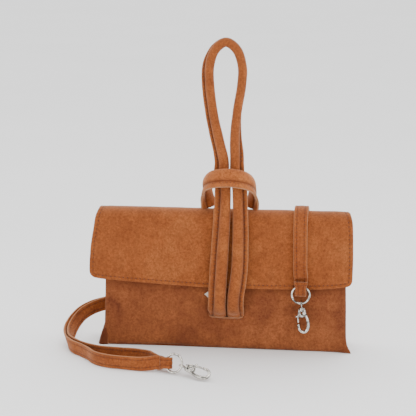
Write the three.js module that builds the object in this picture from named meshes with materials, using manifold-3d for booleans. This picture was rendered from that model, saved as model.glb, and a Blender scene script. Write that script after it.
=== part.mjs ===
// Suede clutch bag with a front flap, a wrist loop held in a keeper, and a loose shoulder strap.
// Millimetres. +X is the wearer's right as the bag is seen from the front, +Y is towards the back,
// +Z is up. The origin is the middle of the base panel's underside.
import * as THREE from 'three';
import { mergeVertices } from 'three/addons/utils/BufferGeometryUtils.js';
import Module from 'manifold-3d';

const wasm = await Module();
wasm.setup();

// ---------------------------------------------------------------- driving dimensions
const gap = 0.3; // between faces that touch
const suede = 1.6; // panel leather
const board = 0.7; // stiffener in the flap
const cloth = 0.6; // lining

// bag body
const bodyWidth = 255;
const bodyDepth = 36; // outside, at the base
const mouthDepth = 25; // outside, at the top of the panels
const panelTop = 136;
const panelFoot = 1.9; // the panels' lower edges, above the base panel
const boardThickness = 1.5; // stiffener on the base
const boardMargin = 2; // from its edges to the base panel's
const liningDrop = 4; // from the panels' top edges to the lining's
const earReachLeft = 10.5; // how far the base corner stands out beyond the panel
const earReachRight = 8;
const earHeightLeft = 36;
const earHeightRight = 12;
const earBottomDepth = 2; // a rounded corner at the ear's tip

// flap
const flapOverhang = 11.5; // past each side of the body
const flapTopInset = 6; // the flap is narrower where it folds over the top
const flapBottom = 69;
const flapCornerRise = 6; // the lower edge climbs towards its corners
const flapCornerRadius = 13;
const flapClearance = 2; // between the front panel and the flap
const flapArch = 10.6; // rise of the flap's inside over the panels
const hingeAngle = 165; // degrees round the arch, from its front to the hinge
const flapSuede = 1.5;

// slit and wrist loop
const slitX = 4.2; // middle of the slit
const slitZ = 39.9;
const slitHeight = 9.4;
const slitRoom = 0.7; // past the pressed legs, each side
const legGapAtSlit = 5;
const flangeAtSlit = 2;
const rollRadiusLow = 6.3;
const rollRadiusHigh = 5.4;
const rollRadiusTop = 4.6;
const rollFlat = 1.7; // half thickness where a leg is pressed flat
const flangeReachLeft = 6;
const flangeReachRight = 4.6;
const flangeReachLoop = 3.8;
const flangeThickness = 2.6;
const flangeInKeeper = 4;
const legGapInKeeper = 0.8;
const splitHeight = 49; // above the flap, where the legs end and the loop begins
const backingMargin = 6; // backing beyond the slit's ends
const backingThickness = 1;
const backingBelow = 19; // under the middle of the slit
const backingAbove = 12;

// keeper
const keeperX = 7.2;
const keeperRoom = 7.8; // beside the legs, each side
const keeperRoll = 6.2; // half the rolled part's width
const keeperThickness = 6.8;
const keeperFlange = 7;
const keeperFlangeThickness = 2.8;

// shoulder strap
const strapWidth = 14.5;
const strapThickness = 2.2;
const strapX = 83;
const strapInRing = 2.3; // from the pinched strap's edges to the ring's wire
const ringRadius = 9.3; // to the middle of the wire
const ringWire = 1.2;

// snap hooks
const eyeRadius = 2.6;
const eyeWire = 0.9;
const studRadius = 1.1;
const studHead = 1.9;
const hookThickness = 5;
const triggerThickness = 2.6;
const pinRadius = 0.6;

// zip
const zipDrop = 32; // below the panels' top edges
const zipLength = 146;
const zipWindow = 9.2;
const toothPitch = 4;
const toothHeight = 2.2;
const toothDepth = 2;
const tapeWidth = 7;
const tapeThickness = 0.5;
const pocketThickness = 1;
const sliderLength = 9;
const pullerLength = 14;
const pocketDrop = 62;

// inner D rings
const dRingWire = 1;
const dRingDrop = 16; // below the panels' top edges
const dRingRoom = 3.2; // from the ring's sides to the lining's outside
const tabRoom = 2; // from the tab to the ring's sides
const tabThickness = 1.2;
const tabHeight = 11; // above the ring's bar

// ---------------------------------------------------------------- sizes that follow
const liningDepth = mouthDepth - 2 * (suede + gap + 0.4);
const liningTop = panelTop - liningDrop;
const zipZ = panelTop - zipDrop;
const flapWidth = bodyWidth + 2 * flapOverhang;
const flapTopWidth = flapWidth - 2 * flapTopInset;
const flapThickness = flapSuede + board + cloth + 2 * gap;
const flapCrown = panelTop + flapArch + flapThickness;
const legSpacingAtSlit = 2 * rollRadiusLow + legGapAtSlit;
const slitWidth = legSpacingAtSlit + 2 * (rollRadiusLow + flangeAtSlit + slitRoom);
const legSpacingInKeeper = 2 * rollRadiusHigh + legGapInKeeper;
const loopSplitZ = flapCrown + splitHeight;
const keeperHalfWidth =
  legSpacingInKeeper / 2 + rollRadiusHigh + flangeInKeeper + keeperRoom + keeperThickness / 2;
const dRingTop = panelTop - dRingDrop;
const dRingWidth = liningDepth - 2 * dRingRoom; // between the middles of its sides
const tabWidth = dRingWidth - 2 * tabRoom;

// ---------------------------------------------------------------- finishes
const finish = (color, roughness, metalness = 0) =>
  new THREE.MeshStandardMaterial({ color, roughness, metalness });
const suedeFinish = finish(0xb0703f, 0.95);
const liningFinish = finish(0x8a6a4c, 0.9);
const boardFinish = finish(0x9a8f80, 0.9);
const tapeFinish = finish(0x7a4a2a, 0.9);
const nickelFinish = finish(0xd8d6d0, 0.2, 1);

const group = new THREE.Group();

function add(name, geometry, material) {
  const mesh = new THREE.Mesh(geometry, material);
  mesh.name = name;
  group.add(mesh);
}

// ---------------------------------------------------------------- solids
const v3 = (x, y, z) => new THREE.Vector3(x, y, z);
const radians = THREE.MathUtils.degToRad;

function toSolid(geometry) {
  const bare = geometry.clone();
  bare.deleteAttribute('normal');
  bare.deleteAttribute('uv');
  const merged = mergeVertices(bare, 1e-4);
  return new wasm.Manifold(
    new wasm.Mesh({
      numProp: 3,
      vertProperties: new Float32Array(merged.attributes.position.array),
      triVerts: new Uint32Array(merged.index.array),
    }),
  );
}

function fromSolid(solid) {
  const mesh = solid.getMesh();
  const geometry = new THREE.BufferGeometry();
  geometry.setAttribute('position', new THREE.BufferAttribute(mesh.vertProperties, 3));
  geometry.setIndex(new THREE.BufferAttribute(mesh.triVerts, 1));
  return geometry;
}

const join = (...parts) => fromSolid(parts.map(toSolid).reduce((a, b) => a.add(b)));
const cut = (part, ...tools) =>
  fromSolid(tools.map(toSolid).reduce((a, b) => a.subtract(b), toSolid(part)));
const overlap = (a, b) => fromSolid(toSolid(a).intersect(toSolid(b)));

function box(low, high) {
  const geometry = new THREE.BoxGeometry(high[0] - low[0], high[1] - low[1], high[2] - low[2]);
  return geometry.translate((low[0] + high[0]) / 2, (low[1] + high[1]) / 2, (low[2] + high[2]) / 2);
}

function extrude(points, depth) {
  const drawn = points instanceof THREE.Shape;
  const shape = drawn ? points : new THREE.Shape(points.map(([a, b]) => new THREE.Vector2(a, b)));
  return new THREE.ExtrudeGeometry(shape, { depth, bevelEnabled: false, curveSegments: 6 });
}

// an outline in (y, z), extruded along X between two places
function acrossX(points, x0, x1) {
  const basis = new THREE.Matrix4().makeBasis(v3(0, 1, 0), v3(0, 0, 1), v3(1, 0, 0));
  return extrude(points, x1 - x0).applyMatrix4(basis).translate(x0, 0, 0);
}

// an outline in (x, z), extruded along Y between two places
function acrossY(points, y0, y1) {
  const basis = new THREE.Matrix4().makeBasis(v3(1, 0, 0), v3(0, 0, 1), v3(0, -1, 0));
  return extrude(points, y1 - y0).applyMatrix4(basis).translate(0, y1, 0);
}

function rod(radius, from, to, sides = 12) {
  const axis = to.clone().sub(from);
  const geometry = new THREE.CylinderGeometry(radius, radius, axis.length(), sides);
  geometry.applyQuaternion(new THREE.Quaternion().setFromUnitVectors(v3(0, 1, 0), axis.clone().normalize()));
  const middle = from.clone().add(to).multiplyScalar(0.5);
  return geometry.translate(middle.x, middle.y, middle.z);
}

// A closed skin through rings of points that all have the same count.
function skin(rings, closed = false) {
  const count = rings[0].length;
  const points = rings.flat();
  const index = [];
  const last = closed ? rings.length : rings.length - 1;
  for (let i = 0; i < last; i++) {
    const here = i * count;
    const next = ((i + 1) % rings.length) * count;
    for (let k = 0; k < count; k++) {
      const other = (k + 1) % count;
      index.push(here + k, here + other, next + other, here + k, next + other, next + k);
    }
  }
  if (!closed) {
    const ends = [
      [rings[0], 0, true],
      [rings.at(-1), (rings.length - 1) * count, false],
    ];
    for (const [ring, start, flip] of ends) {
      const middle = ring.reduce((sum, p) => sum.add(p), v3(0, 0, 0)).divideScalar(count);
      const hub = points.push(middle) - 1;
      for (let k = 0; k < count; k++) {
        const other = (k + 1) % count;
        index.push(...(flip ? [hub, start + other, start + k] : [hub, start + k, start + other]));
      }
    }
  }
  let volume = 0;
  for (let i = 0; i < index.length; i += 3) {
    const [a, b, c] = [points[index[i]], points[index[i + 1]], points[index[i + 2]]];
    volume += a.dot(b.clone().cross(c));
  }
  if (volume < 0) {
    for (let i = 0; i < index.length; i += 3) [index[i + 1], index[i + 2]] = [index[i + 2], index[i + 1]];
  }
  const geometry = new THREE.BufferGeometry();
  geometry.setAttribute('position', new THREE.Float32BufferAttribute(points.flatMap((p) => [p.x, p.y, p.z]), 3));
  geometry.setIndex(index);
  return geometry;
}

// Sweeps section(u), a list of [across, out] points, along a curve. The route gives each point's
// place and the direction of "across" there.
function sweep(route, steps, section, closed = false) {
  const curve = new THREE.CatmullRomCurve3(route.map((r) => v3(...r.at)), closed, 'centripetal');
  const across = new THREE.CatmullRomCurve3(route.map((r) => v3(...r.across)), closed, 'centripetal');
  const rings = [];
  for (let i = 0; i < (closed ? steps : steps + 1); i++) {
    const u = i / steps;
    const t = curve.getUtoTmapping(u);
    const tangent = curve.getTangent(t);
    const side = across.getPoint(t);
    side.addScaledVector(tangent, -side.dot(tangent)).normalize();
    const out = tangent.clone().cross(side);
    const place = curve.getPoint(t);
    rings.push(section(u).map(([a, b]) => place.clone().addScaledVector(side, a).addScaledVector(out, b)));
  }
  return skin(rings, closed);
}

const circle = (radius, sides) =>
  [...Array(sides).keys()].map((k) => {
    const turn = (k / sides) * 2 * Math.PI;
    return [radius * Math.cos(turn), radius * Math.sin(turn)];
  });

const mix = (a, b, t) => a + (b - a) * THREE.MathUtils.clamp(t, 0, 1);

// ---------------------------------------------------------------- bag body
const panelCurve = 1.6; // how late the panels lean in towards the mouth
const panelLean = (z) => (Math.PI / 2) * (Math.max(z, 0) / panelTop) ** panelCurve;
const panelOut = (z) => mouthDepth / 2 + ((bodyDepth - mouthDepth) / 2) * Math.cos(panelLean(z));
const panelLevels = [panelFoot, 20, 40, 58, 76, 94, 110, 124, panelTop].map((z) => Math.min(z, panelTop));
const halfBody = bodyWidth / 2;
const gussetInside = halfBody - 3;

function panel(side) {
  const outer = panelLevels.map((z) => [side * panelOut(z), z]);
  const inner = panelLevels.map((z) => [side * (panelOut(z) - suede), z]).reverse();
  return acrossX([...outer, ...inner], -halfBody, halfBody);
}

function makeBody() {
  const slit = box(
    [slitX - slitWidth / 2, -bodyDepth, slitZ - slitHeight / 2],
    [slitX + slitWidth / 2, -liningDepth / 2 - gap, slitZ + slitHeight / 2],
  );
  add('front_panel', cut(panel(-1), slit), suedeFinish);
  add('back_panel', panel(1), suedeFinish);

  const insideDepth = bodyDepth / 2 - suede - 2 * gap;
  const baseHalf = gussetInside - gap;
  add('base_panel', box([-baseHalf, -insideDepth, 0], [baseHalf, insideDepth, suede]), suedeFinish);
  const boardBottom = suede + gap;
  const boardTop = boardBottom + boardThickness;
  const boardX = baseHalf - boardMargin;
  const boardY = insideDepth - boardMargin;
  add('base_board', box([-boardX, -boardY, boardBottom], [boardX, boardY, boardTop]), boardFinish);

  for (const [name, side, reach, height] of [
    ['gusset_left', -1, earReachLeft, earHeightLeft],
    ['gusset_right', 1, earReachRight, earHeightRight],
  ]) {
    const wall = gussetInside + suede;
    const outline = [
      [gussetInside, 0],
      [halfBody + reach - earBottomDepth, 0],
      [halfBody + reach, earBottomDepth],
      [wall, height],
      [wall, panelTop - gap],
      [gussetInside, panelTop - gap],
    ].map(([x, z]) => [side * x, z]);
    const slab = acrossY(outline, -bodyDepth / 2, bodyDepth / 2);
    const levels = panelLevels.map((z) => [panelOut(z) - suede - gap, z === panelFoot ? -1 : z]);
    const between = [...levels, ...levels.map(([y, z]) => [-y, z]).reverse()];
    const reachAll = halfBody + reach + 1;
    add(name, overlap(slab, acrossX(between, -reachAll, reachAll)), suedeFinish);
  }

  const liningBottom = boardTop + gap;
  const half = liningDepth / 2;
  const liningHalf = gussetInside - gap - cloth;
  const sack = acrossX(
    [
      [-half, liningBottom],
      [half, liningBottom],
      [half, liningTop],
      [half - cloth, liningTop],
      [half - cloth, liningBottom + cloth],
      [-half + cloth, liningBottom + cloth],
      [-half + cloth, liningTop],
      [-half, liningTop],
    ],
    -liningHalf,
    liningHalf,
  );
  const windowHalf = zipLength / 2 + 6;
  const window = box(
    [-windowHalf, 0, zipZ - zipWindow / 2],
    [windowHalf, bodyDepth, zipZ + zipWindow / 2],
  );
  add('lining', cut(sack, window), liningFinish);

  const backingHalf = slitWidth / 2 + backingMargin;
  const backingY = -half - gap;
  add(
    'slit_backing',
    box(
      [slitX - backingHalf, backingY - backingThickness, slitZ - backingBelow],
      [slitX + backingHalf, backingY, slitZ + backingAbove],
    ),
    boardFinish,
  );
}

// ---------------------------------------------------------------- flap
const archMiddle = (offset) => {
  const front = -(mouthDepth / 2 + flapClearance);
  const rear = mouthDepth / 2 + 0.2 - flapThickness;
  return { y: (front + rear) / 2, across: (rear - front) / 2 + offset, up: flapArch + offset };
};

// the flap's section at a distance out from its inner face, from the lower front edge to the hinge
function flapLine(offset, bottom) {
  const points = [0, 0.17, 0.35, 0.53, 0.71, 0.87].map((share) => {
    const z = mix(bottom, panelTop, share);
    return [-(panelOut(z) + flapClearance + offset), z];
  });
  const arch = archMiddle(offset);
  for (let angle = 0; angle <= hingeAngle; angle += hingeAngle / 9) {
    const turn = radians(angle);
    points.push([arch.y - arch.across * Math.cos(turn), panelTop + arch.up * Math.sin(turn)]);
  }
  return points;
}

function flapOutline(trim) {
  const half = flapWidth / 2 - trim;
  const top = flapTopWidth / 2 - trim;
  const r = flapCornerRadius;
  const bottom = flapBottom + trim;
  const cornerZ = bottom + flapCornerRise;
  const shape = new THREE.Shape();
  shape.moveTo(-half, cornerZ + r);
  shape.quadraticCurveTo(-half, cornerZ, -half + r, cornerZ - 1);
  shape.quadraticCurveTo(0, bottom - flapCornerRise + 1, half - r, cornerZ - 1);
  shape.quadraticCurveTo(half, cornerZ, half, cornerZ + r);
  shape.lineTo(half, panelTop - 8);
  shape.quadraticCurveTo(half, panelTop + 6, top, panelTop + 16);
  shape.lineTo(top, panelTop + 40);
  shape.lineTo(-top, panelTop + 40);
  shape.lineTo(-top, panelTop + 16);
  shape.quadraticCurveTo(-half, panelTop + 6, -half, panelTop - 8);
  return shape;
}

function flapLayer(inner, thickness, trim) {
  const low = flapBottom - 8;
  const section = [...flapLine(inner + thickness, low), ...flapLine(inner, low).reverse()];
  const reach = flapWidth / 2 + 2;
  const outline = acrossY(flapOutline(trim), -bodyDepth * 2, bodyDepth * 2);
  return overlap(acrossX(section, -reach, reach), outline);
}

function makeFlap() {
  const boardIn = cloth + gap;
  const suedeIn = boardIn + board + gap;
  add('flap_outer', flapLayer(suedeIn, flapSuede, 0), suedeFinish);
  add('flap_board', flapLayer(boardIn, board, 5), boardFinish);
  add('flap_lining', flapLayer(0, cloth, 0.8), liningFinish);
}

// ---------------------------------------------------------------- wrist loop
// A suede tube round a filler cord, with its two edges stitched together as a flange. "Across"
// points along the flange.
function rolled(flat, radius, reach) {
  const half = Math.min(flangeThickness / 2, radius * 0.4);
  const start = Math.asin(half / radius);
  const sides = 9;
  const points = [...Array(sides + 1).keys()].map((k) => {
    const turn = mix(start, 2 * Math.PI - start, k / sides);
    return [radius * Math.cos(turn), radius * Math.sin(turn) * flat];
  });
  const edge = Math.min(half, radius * flat * 0.7);
  return [...points, [radius + reach, -edge], [radius + reach, edge]];
}

// a height between the slit, at 0, and the top of the flap, at 1
const legLevel = (share) => mix(slitZ, flapCrown, share);

// how far the middle between the legs, and half the gap between them, are at each level
const legPlaces = [
  [4.9, 0.8],
  [5.8, 0.9],
  [8.5, 2.0],
  [9.5, 1.6],
  [10, 1.6],
  [9.5, 0.7],
];

function makeLeg(name, side, flange) {
  const x0 = slitX + (side * legSpacingAtSlit) / 2;
  const inside = -liningDepth / 2 - backingThickness - 3 * gap - rollFlat;
  const onFlap = (z) => -(panelOut(z) + flapClearance + flapThickness + rollRadiusLow + 0.8);
  const place = (x, y, z) => ({ at: [x, y, z], across: [side, 0, 0] });
  const top = keeperX + (side * legSpacingInKeeper) / 2;
  const lean = legPlaces.map(([middle, halfGap], k) => {
    const radius = k < 4 ? rollRadiusLow : rollRadiusHigh;
    return middle + side * (radius + halfGap);
  });
  const route = [
    place(x0, inside, slitZ - 16),
    place(x0, inside, slitZ - 5.4),
    place(x0, -(panelOut(slitZ) - suede * 0.8), slitZ - 0.4),
    place(x0, -(panelOut(slitZ) + 2.2), slitZ + 2.5),
    place(x0 - side * 0.6, -(panelOut(slitZ) + 7.4), slitZ + 8),
    place(lean[0], onFlap(legLevel(0.13)) + 1.6, legLevel(0.13)),
    place(lean[1], onFlap(legLevel(0.22)), legLevel(0.22)),
    place(lean[2], onFlap(legLevel(0.464)), legLevel(0.464)),
    place(lean[3], onFlap(panelTop - 11) + 0.6, panelTop - 11),
    place(lean[4], onFlap(panelTop), flapCrown + 1),
    place(lean[5], onFlap(panelTop) + 2, flapCrown + 27),
    place(top, onFlap(panelTop) + 4.4, loopSplitZ - 6),
    place(top, onFlap(panelTop) + 4.4, loopSplitZ),
  ];
  const section = (u) => {
    const open = THREE.MathUtils.smoothstep(u, 0.14, 0.27);
    const radius = mix(rollRadiusLow, rollRadiusHigh, (u - 0.45) / 0.4);
    const squeezed = THREE.MathUtils.smoothstep(u, 0.78, 0.9);
    const reach = mix(mix(flangeAtSlit, flange, open), flangeInKeeper, squeezed);
    return rolled(mix(rollFlat / rollRadiusLow, 1, open), radius, reach);
  };
  add(name, sweep(route, 26, section), suedeFinish);
}

function makeLoop() {
  const legTops = [keeperX - legSpacingInKeeper / 2, keeperX + legSpacingInKeeper / 2];
  const back = -(panelOut(panelTop) + flapClearance + flapThickness + rollRadiusLow + 0.8) + 4.4;
  const start = loopSplitZ + gap;
  const place = (x, rise, across) => ({
    at: [x, back + (rise > 10 ? 0.4 : 0), start + rise],
    across,
  });
  const route = [
    place(legTops[0], 0, [-1, 0, 0]),
    place(legTops[0], 6, [-1, 0.1, 0]),
    place(-3.6, 27, [-1, 0.2, -0.15]),
    place(-9.2, 53, [-1, 0.2, -0.15]),
    place(-13.2, 84, [-1, 0.2, 0]),
    place(-13.2, 104, [-0.9, 0.5, 0.25]),
    place(-7.6, 120, [-0.5, 0.9, 0.5]),
    place(3.2, 127.6, [0, 1, 0.4]),
    place(14.0, 120, [0.3, 1, 0.3]),
    place(19.8, 103, [0.4, 1, 0]),
    place(19.2, 84, [0.4, 1, 0]),
    place(14.9, 57, [0.4, 1, 0]),
    place(12.6, 31, [0.7, 0.7, 0]),
    place(legTops[1], 6, [1, 0.1, 0]),
    place(legTops[1], 0, [1, 0, 0]),
  ];
  const section = (u) => {
    const fromEnd = Math.min(u, 1 - u);
    const reach = mix(flangeInKeeper, flangeReachLoop, fromEnd * 12);
    return rolled(1, mix(rollRadiusHigh, rollRadiusTop, fromEnd * 4), reach);
  };
  add('wrist_loop', sweep(route, 44, section), suedeFinish);
}

function makeWristLoop() {
  makeLeg('loop_leg_left', -1, flangeReachLeft);
  makeLeg('loop_leg_right', 1, flangeReachRight);
  makeLoop();
}

// ---------------------------------------------------------------- keeper
// An arch over the legs. Its two ends stand on top of the flap, near the hinge.
function makeKeeper() {
  const foot = flapCrown + gap + 0.2;
  const half = (share) => keeperHalfWidth * share;
  const arm = [
    { at: [half(0.9), 1.5, foot], across: [0.35, -0.94, 0] },
    { at: [half(0.9), 1.5, foot + 3], across: [0.35, -0.94, 0] },
    { at: [half(0.94), 0, foot + 10], across: [0.3, -0.94, -0.15] },
    { at: [half(1), -8, foot + 22], across: [0.15, -0.82, -0.5] },
    { at: [half(0.97), -21, foot + 32.5], across: [0.08, -0.62, -0.76] },
    { at: [half(0.62), -31.5, foot + 39.5], across: [0.02, -0.5, -0.86] },
  ];
  const mirrored = ({ at, across }, side) => ({
    at: [keeperX + side * at[0], at[1], at[2]],
    across: [side * across[0], across[1], across[2]],
  });
  const route = [
    ...arm.map((point) => mirrored(point, -1)),
    { at: [keeperX, -35.5, foot + 42.3], across: [0, -0.45, -0.89] },
    ...arm.map((point) => mirrored(point, 1)).reverse(),
  ];
  const k = keeperThickness / 2;
  const f = keeperFlangeThickness / 2;
  const section = () => [
    [-keeperRoll * 1.6, 0],
    [-keeperRoll * 1.3, k * 0.75],
    [-keeperRoll * 0.6, k],
    [keeperRoll * 0.1, k * 0.8],
    [keeperRoll * 0.4, f],
    [keeperRoll * 0.4 + keeperFlange, f],
    [keeperRoll * 0.4 + keeperFlange, -f],
    [-keeperRoll * 0.6, -k * 0.8],
    [-keeperRoll * 1.3, -k * 0.6],
  ];
  add('keeper', sweep(route, 30, section), suedeFinish);
}

// ---------------------------------------------------------------- shoulder strap
// The strap is a closed band that lies doubled between its two rings: an outer leg and an inner
// leg. The front runs hang over the flap, and the back runs lie behind the bag and on the floor.
const hang = (y, z) => ({ at: [strapX, y, z], across: [1, 0, 0] });

// A ring hangs by its wire at "fold". Its middle is further "inward", its plane runs "along" the
// strap's width, and atRing gives a place so far inward and so far out of the ring's plane.
const rightRing = { fold: v3(strapX, -26.8, 75), inward: v3(0, 0, -1), along: v3(1, 0, 0) };
const leftRing = { fold: v3(-50.4, -91.9, 10), inward: v3(0.937, -0.329, 0.119), along: v3(0, -0.34, -0.94) };

function atRing(ring, inward, out) {
  const normal = ring.inward.clone().cross(ring.along);
  const place = ring.fold.clone().addScaledVector(ring.inward, inward).addScaledVector(normal, out);
  return { at: place.toArray(), across: ring.along.toArray() };
}

// a run over the flap, from its lower end to just short of the hinge
function overFlap(clearance, bottom, loft) {
  const offset = flapThickness + clearance + strapThickness / 2;
  const line = flapLine(offset, flapBottom).filter(([y, z]) => z > bottom + 4);
  const lifted = (z) => z + loft * THREE.MathUtils.smoothstep(z, panelTop + 3, flapCrown);
  return [
    hang(-(panelOut(bottom) + flapClearance + offset), bottom),
    ...line.map(([y, z]) => hang(y, lifted(z))),
  ];
}

const strapEndZ = flapBottom + 14.8;
const innerClearance = 0.6;
const outerClearance = innerClearance + strapThickness + 0.5;
const strapLoft = 1.8; // the outer leg stands off the fold of the flap
const outerBack = [
  { at: [83, 17.6, 136.6], across: [1, 0, 0] },
  { at: [82.2, 18.3, 128], across: [0.97, 0, -0.25] },
  { at: [74, 19.4, 116], across: [0.8, 0, -0.6] },
  { at: [58, 20.2, 104], across: [0.55, 0, -0.83] },
  { at: [30, 21, 90], across: [0.45, 0, -0.89] },
  { at: [0, 21.7, 77], across: [0.4, 0, -0.92] },
  { at: [-40, 22.3, 61], across: [0.37, 0, -0.93] },
  { at: [-80, 22.7, 47], across: [0.32, 0, -0.95] },
  { at: [-110, 23.1, 38.5], across: [0.25, 0, -0.97] },
  { at: [-133, 23.5, 33], across: [0.22, 0.03, -0.97] },
  { at: [-147.5, 19.5, 29.5], across: [0.3, 0.1, -0.94] },
  { at: [-158.5, 9.5, 25], across: [0.42, 0.18, -0.88] },
  { at: [-165, -5, 19], across: [0.5, 0.2, -0.84] },
  { at: [-167, -22, 13.2], across: [0.45, 0.12, -0.88] },
  { at: [-163.5, -38, 9.3], across: [0.25, 0, -0.97] },
  { at: [-156, -49, 7.9], across: [0.06, 0, -1] },
  { at: [-146, -57, 7.5], across: [0, 0, -1] },
  { at: [-136, -67, 7.5], across: [0, 0, -1] },
  { at: [-127, -78, 7.5], across: [0, 0, -1] },
  { at: [-114, -85.5, 7.5], across: [0, 0, -1] },
  { at: [-96, -89.2, 7.5], across: [0, 0.03, -1] },
  { at: [-78, -91.2, 7.5], across: [0, -0.1, -1] },
  { at: [-68, -91.3, 8.3], across: [0, -0.25, -0.96] },
  atRing(leftRing, -9, -3.1),
  atRing(leftRing, -6, -3.1),
];
const innerBack = [
  { at: [83, 14.9, 136.2], across: [1, 0, 0] },
  { at: [82.2, 15.6, 127.8], across: [0.97, 0, -0.25] },
  { at: [74, 16.9, 116], across: [0.8, 0, -0.6] },
  { at: [58, 17.7, 104], across: [0.55, 0, -0.83] },
  { at: [30, 18.5, 90], across: [0.45, 0, -0.89] },
  { at: [0, 19.2, 77], across: [0.4, 0, -0.92] },
  { at: [-40, 19.8, 61], across: [0.37, 0, -0.93] },
  { at: [-80, 20.2, 47], across: [0.32, 0, -0.95] },
  { at: [-110, 20.6, 38.5], across: [0.25, 0, -0.97] },
  { at: [-133, 20.9, 33], across: [0.22, 0.03, -0.97] },
  { at: [-145.2, 17, 29.5], across: [0.3, 0.1, -0.94] },
  { at: [-155.5, 7.6, 25], across: [0.42, 0.18, -0.88] },
  { at: [-161.4, -5, 19], across: [0.5, 0.2, -0.84] },
  { at: [-163.2, -21, 13.2], across: [0.45, 0.12, -0.88] },
  { at: [-160.2, -36, 9.3], across: [0.25, 0, -0.97] },
  { at: [-151.5, -46, 7.9], across: [0.06, 0, -1] },
  { at: [-140, -54.5, 7.5], across: [0, 0, -1] },
  { at: [-124, -61.5, 7.5], across: [0, 0, -1] },
  { at: [-104, -64.3, 7.5], across: [0, 0, -1] },
  { at: [-84, -66.4, 7.5], across: [0, 0, -1] },
  { at: [-70, -72.5, 7.8], across: [0, -0.15, -0.99] },
  { at: [-65.5, -79, 8.2], across: [0, -0.3, -0.95] },
  atRing(leftRing, -10, 3.3),
  atRing(leftRing, -7, 3),
];

const band = (pinch) => (u) => {
  const w = mix(strapWidth / 2, ringRadius - ringWire - strapInRing, pinch(u));
  const t = strapThickness / 2;
  return [[-w, -t], [w, -t], [w, t], [-w, t]];
};

function makeStrap() {
  const even = band(() => 0);
  const outerFront = overFlap(outerClearance, strapEndZ, strapLoft);
  add('strap_outer_front', sweep(outerFront, 24, even), suedeFinish);
  add('strap_inner_front', sweep(overFlap(innerClearance, strapEndZ, 0), 24, even), suedeFinish);
  add('strap_outer_back', sweep(outerBack, 60, even), suedeFinish);
  add('strap_inner_back', sweep(innerBack, 60, even), suedeFinish);

  // each end passes through its ring and is sewn back on itself
  const middle = (u) => 1 - Math.abs(u - 0.5) * 2.4;
  const foldTop = panelOut(strapEndZ) + flapClearance + flapThickness + innerClearance + strapThickness / 2;
  const hangingEnd = [
    hang(-foldTop - 0.1, strapEndZ - gap - 0.1),
    atRing(rightRing, -3, -2.8),
    atRing(rightRing, 4, -2.7),
    atRing(rightRing, 8.6, -1.8),
    atRing(rightRing, 10, 0.1),
    atRing(rightRing, 8.6, 1.9),
    atRing(rightRing, 4, 2.8),
    atRing(rightRing, -1, 2.8),
    atRing(rightRing, -5.5, 2.5),
  ];
  add('strap_right_fold', sweep(hangingEnd, 20, band(middle)), suedeFinish);

  const lyingEnd = [
    atRing(leftRing, -5.2, -3.1),
    atRing(leftRing, -2, -3.2),
    atRing(leftRing, 2, -3.2),
    atRing(leftRing, 5.2, -2.3),
    atRing(leftRing, 6.4, 0),
    atRing(leftRing, 5.2, 2.3),
    atRing(leftRing, 2, 3.2),
    atRing(leftRing, -2, 3.1),
    atRing(leftRing, -6.2, 3),
  ];
  add('strap_left_fold', sweep(lyingEnd, 20, band(middle)), suedeFinish);
}

function torusAt(centre, normal, radius, wire, around, section) {
  const geometry = new THREE.TorusGeometry(radius, wire, section, around);
  geometry.applyQuaternion(new THREE.Quaternion().setFromUnitVectors(v3(0, 0, 1), normal.clone().normalize()));
  return geometry.translate(centre.x, centre.y, centre.z);
}

// ---------------------------------------------------------------- rings and snap hooks
// A snap hook's own frame: its origin is the middle of the ring's wire, Z points back along the
// hook towards the ring, X is sideways, away from the trigger, and Y is through the thickness.
const hookNeck = -4.4;
const noseTop = -22.2; // where the hook's nose meets the trigger
const pivotPlace = [-2.2, -12.2];

function hookOutline() {
  const shape = new THREE.Shape();
  shape.moveTo(-3.3, hookNeck);
  shape.lineTo(3.3, hookNeck);
  shape.lineTo(3.5, -9.8);
  shape.quadraticCurveTo(6.4, -15, 6.6, -23);
  shape.quadraticCurveTo(6.4, -33, 0, -33.2);
  shape.quadraticCurveTo(-6.2, -32.4, -6.6, -24);
  shape.lineTo(-6.5, noseTop);
  shape.lineTo(-3.7, noseTop);
  shape.quadraticCurveTo(-4, -29.6, 0, -30);
  shape.quadraticCurveTo(4, -29.4, 3.6, -22);
  shape.quadraticCurveTo(3.2, -17, 0.4, -14.8);
  shape.lineTo(-3, -14.8);
  shape.lineTo(-4.6, -13);
  shape.lineTo(-4.4, -10.6);
  shape.lineTo(-3.3, -9.6);
  return shape;
}

function triggerOutline() {
  const [px, pz] = pivotPlace;
  const shape = new THREE.Shape();
  shape.moveTo(px + 1.5, pz + 0.9);
  shape.lineTo(px, pz + 1.7);
  shape.lineTo(px - 1.8, pz + 1.2);
  shape.lineTo(px - 5.2, pz - 1.4);
  shape.lineTo(px - 5.4, pz - 2.8);
  shape.lineTo(px - 3.9, pz - 3);
  shape.quadraticCurveTo(px - 4.2, pz - 6, px - 3.9, pz - 8.8);
  shape.lineTo(px - 1.7, pz - 8.8);
  shape.quadraticCurveTo(px - 1.6, pz - 5, px + 0.6, pz - 1.9);
  shape.lineTo(px + 1.5, pz - 0.8);
  return shape;
}

function springGeometry() {
  const turns = 3;
  const perTurn = 8;
  const route = [...Array(turns * perTurn + 1).keys()].map((k) => {
    const turn = (k / perTurn) * 2 * Math.PI;
    return {
      at: [(k / (turns * perTurn)) * 2.2, 0.7 * Math.cos(turn), pivotPlace[1] - 0.8 + 0.7 * Math.sin(turn)],
      across: [1, 0, 0],
    };
  });
  return sweep(route, turns * perTurn, () => circle(0.22, 4));
}

function frameAt(origin, x, z) {
  const up = z.clone().normalize();
  const side = x.clone().addScaledVector(up, -x.dot(up)).normalize();
  return new THREE.Matrix4().makeBasis(side, up.clone().cross(side), up).setPosition(origin);
}

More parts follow.
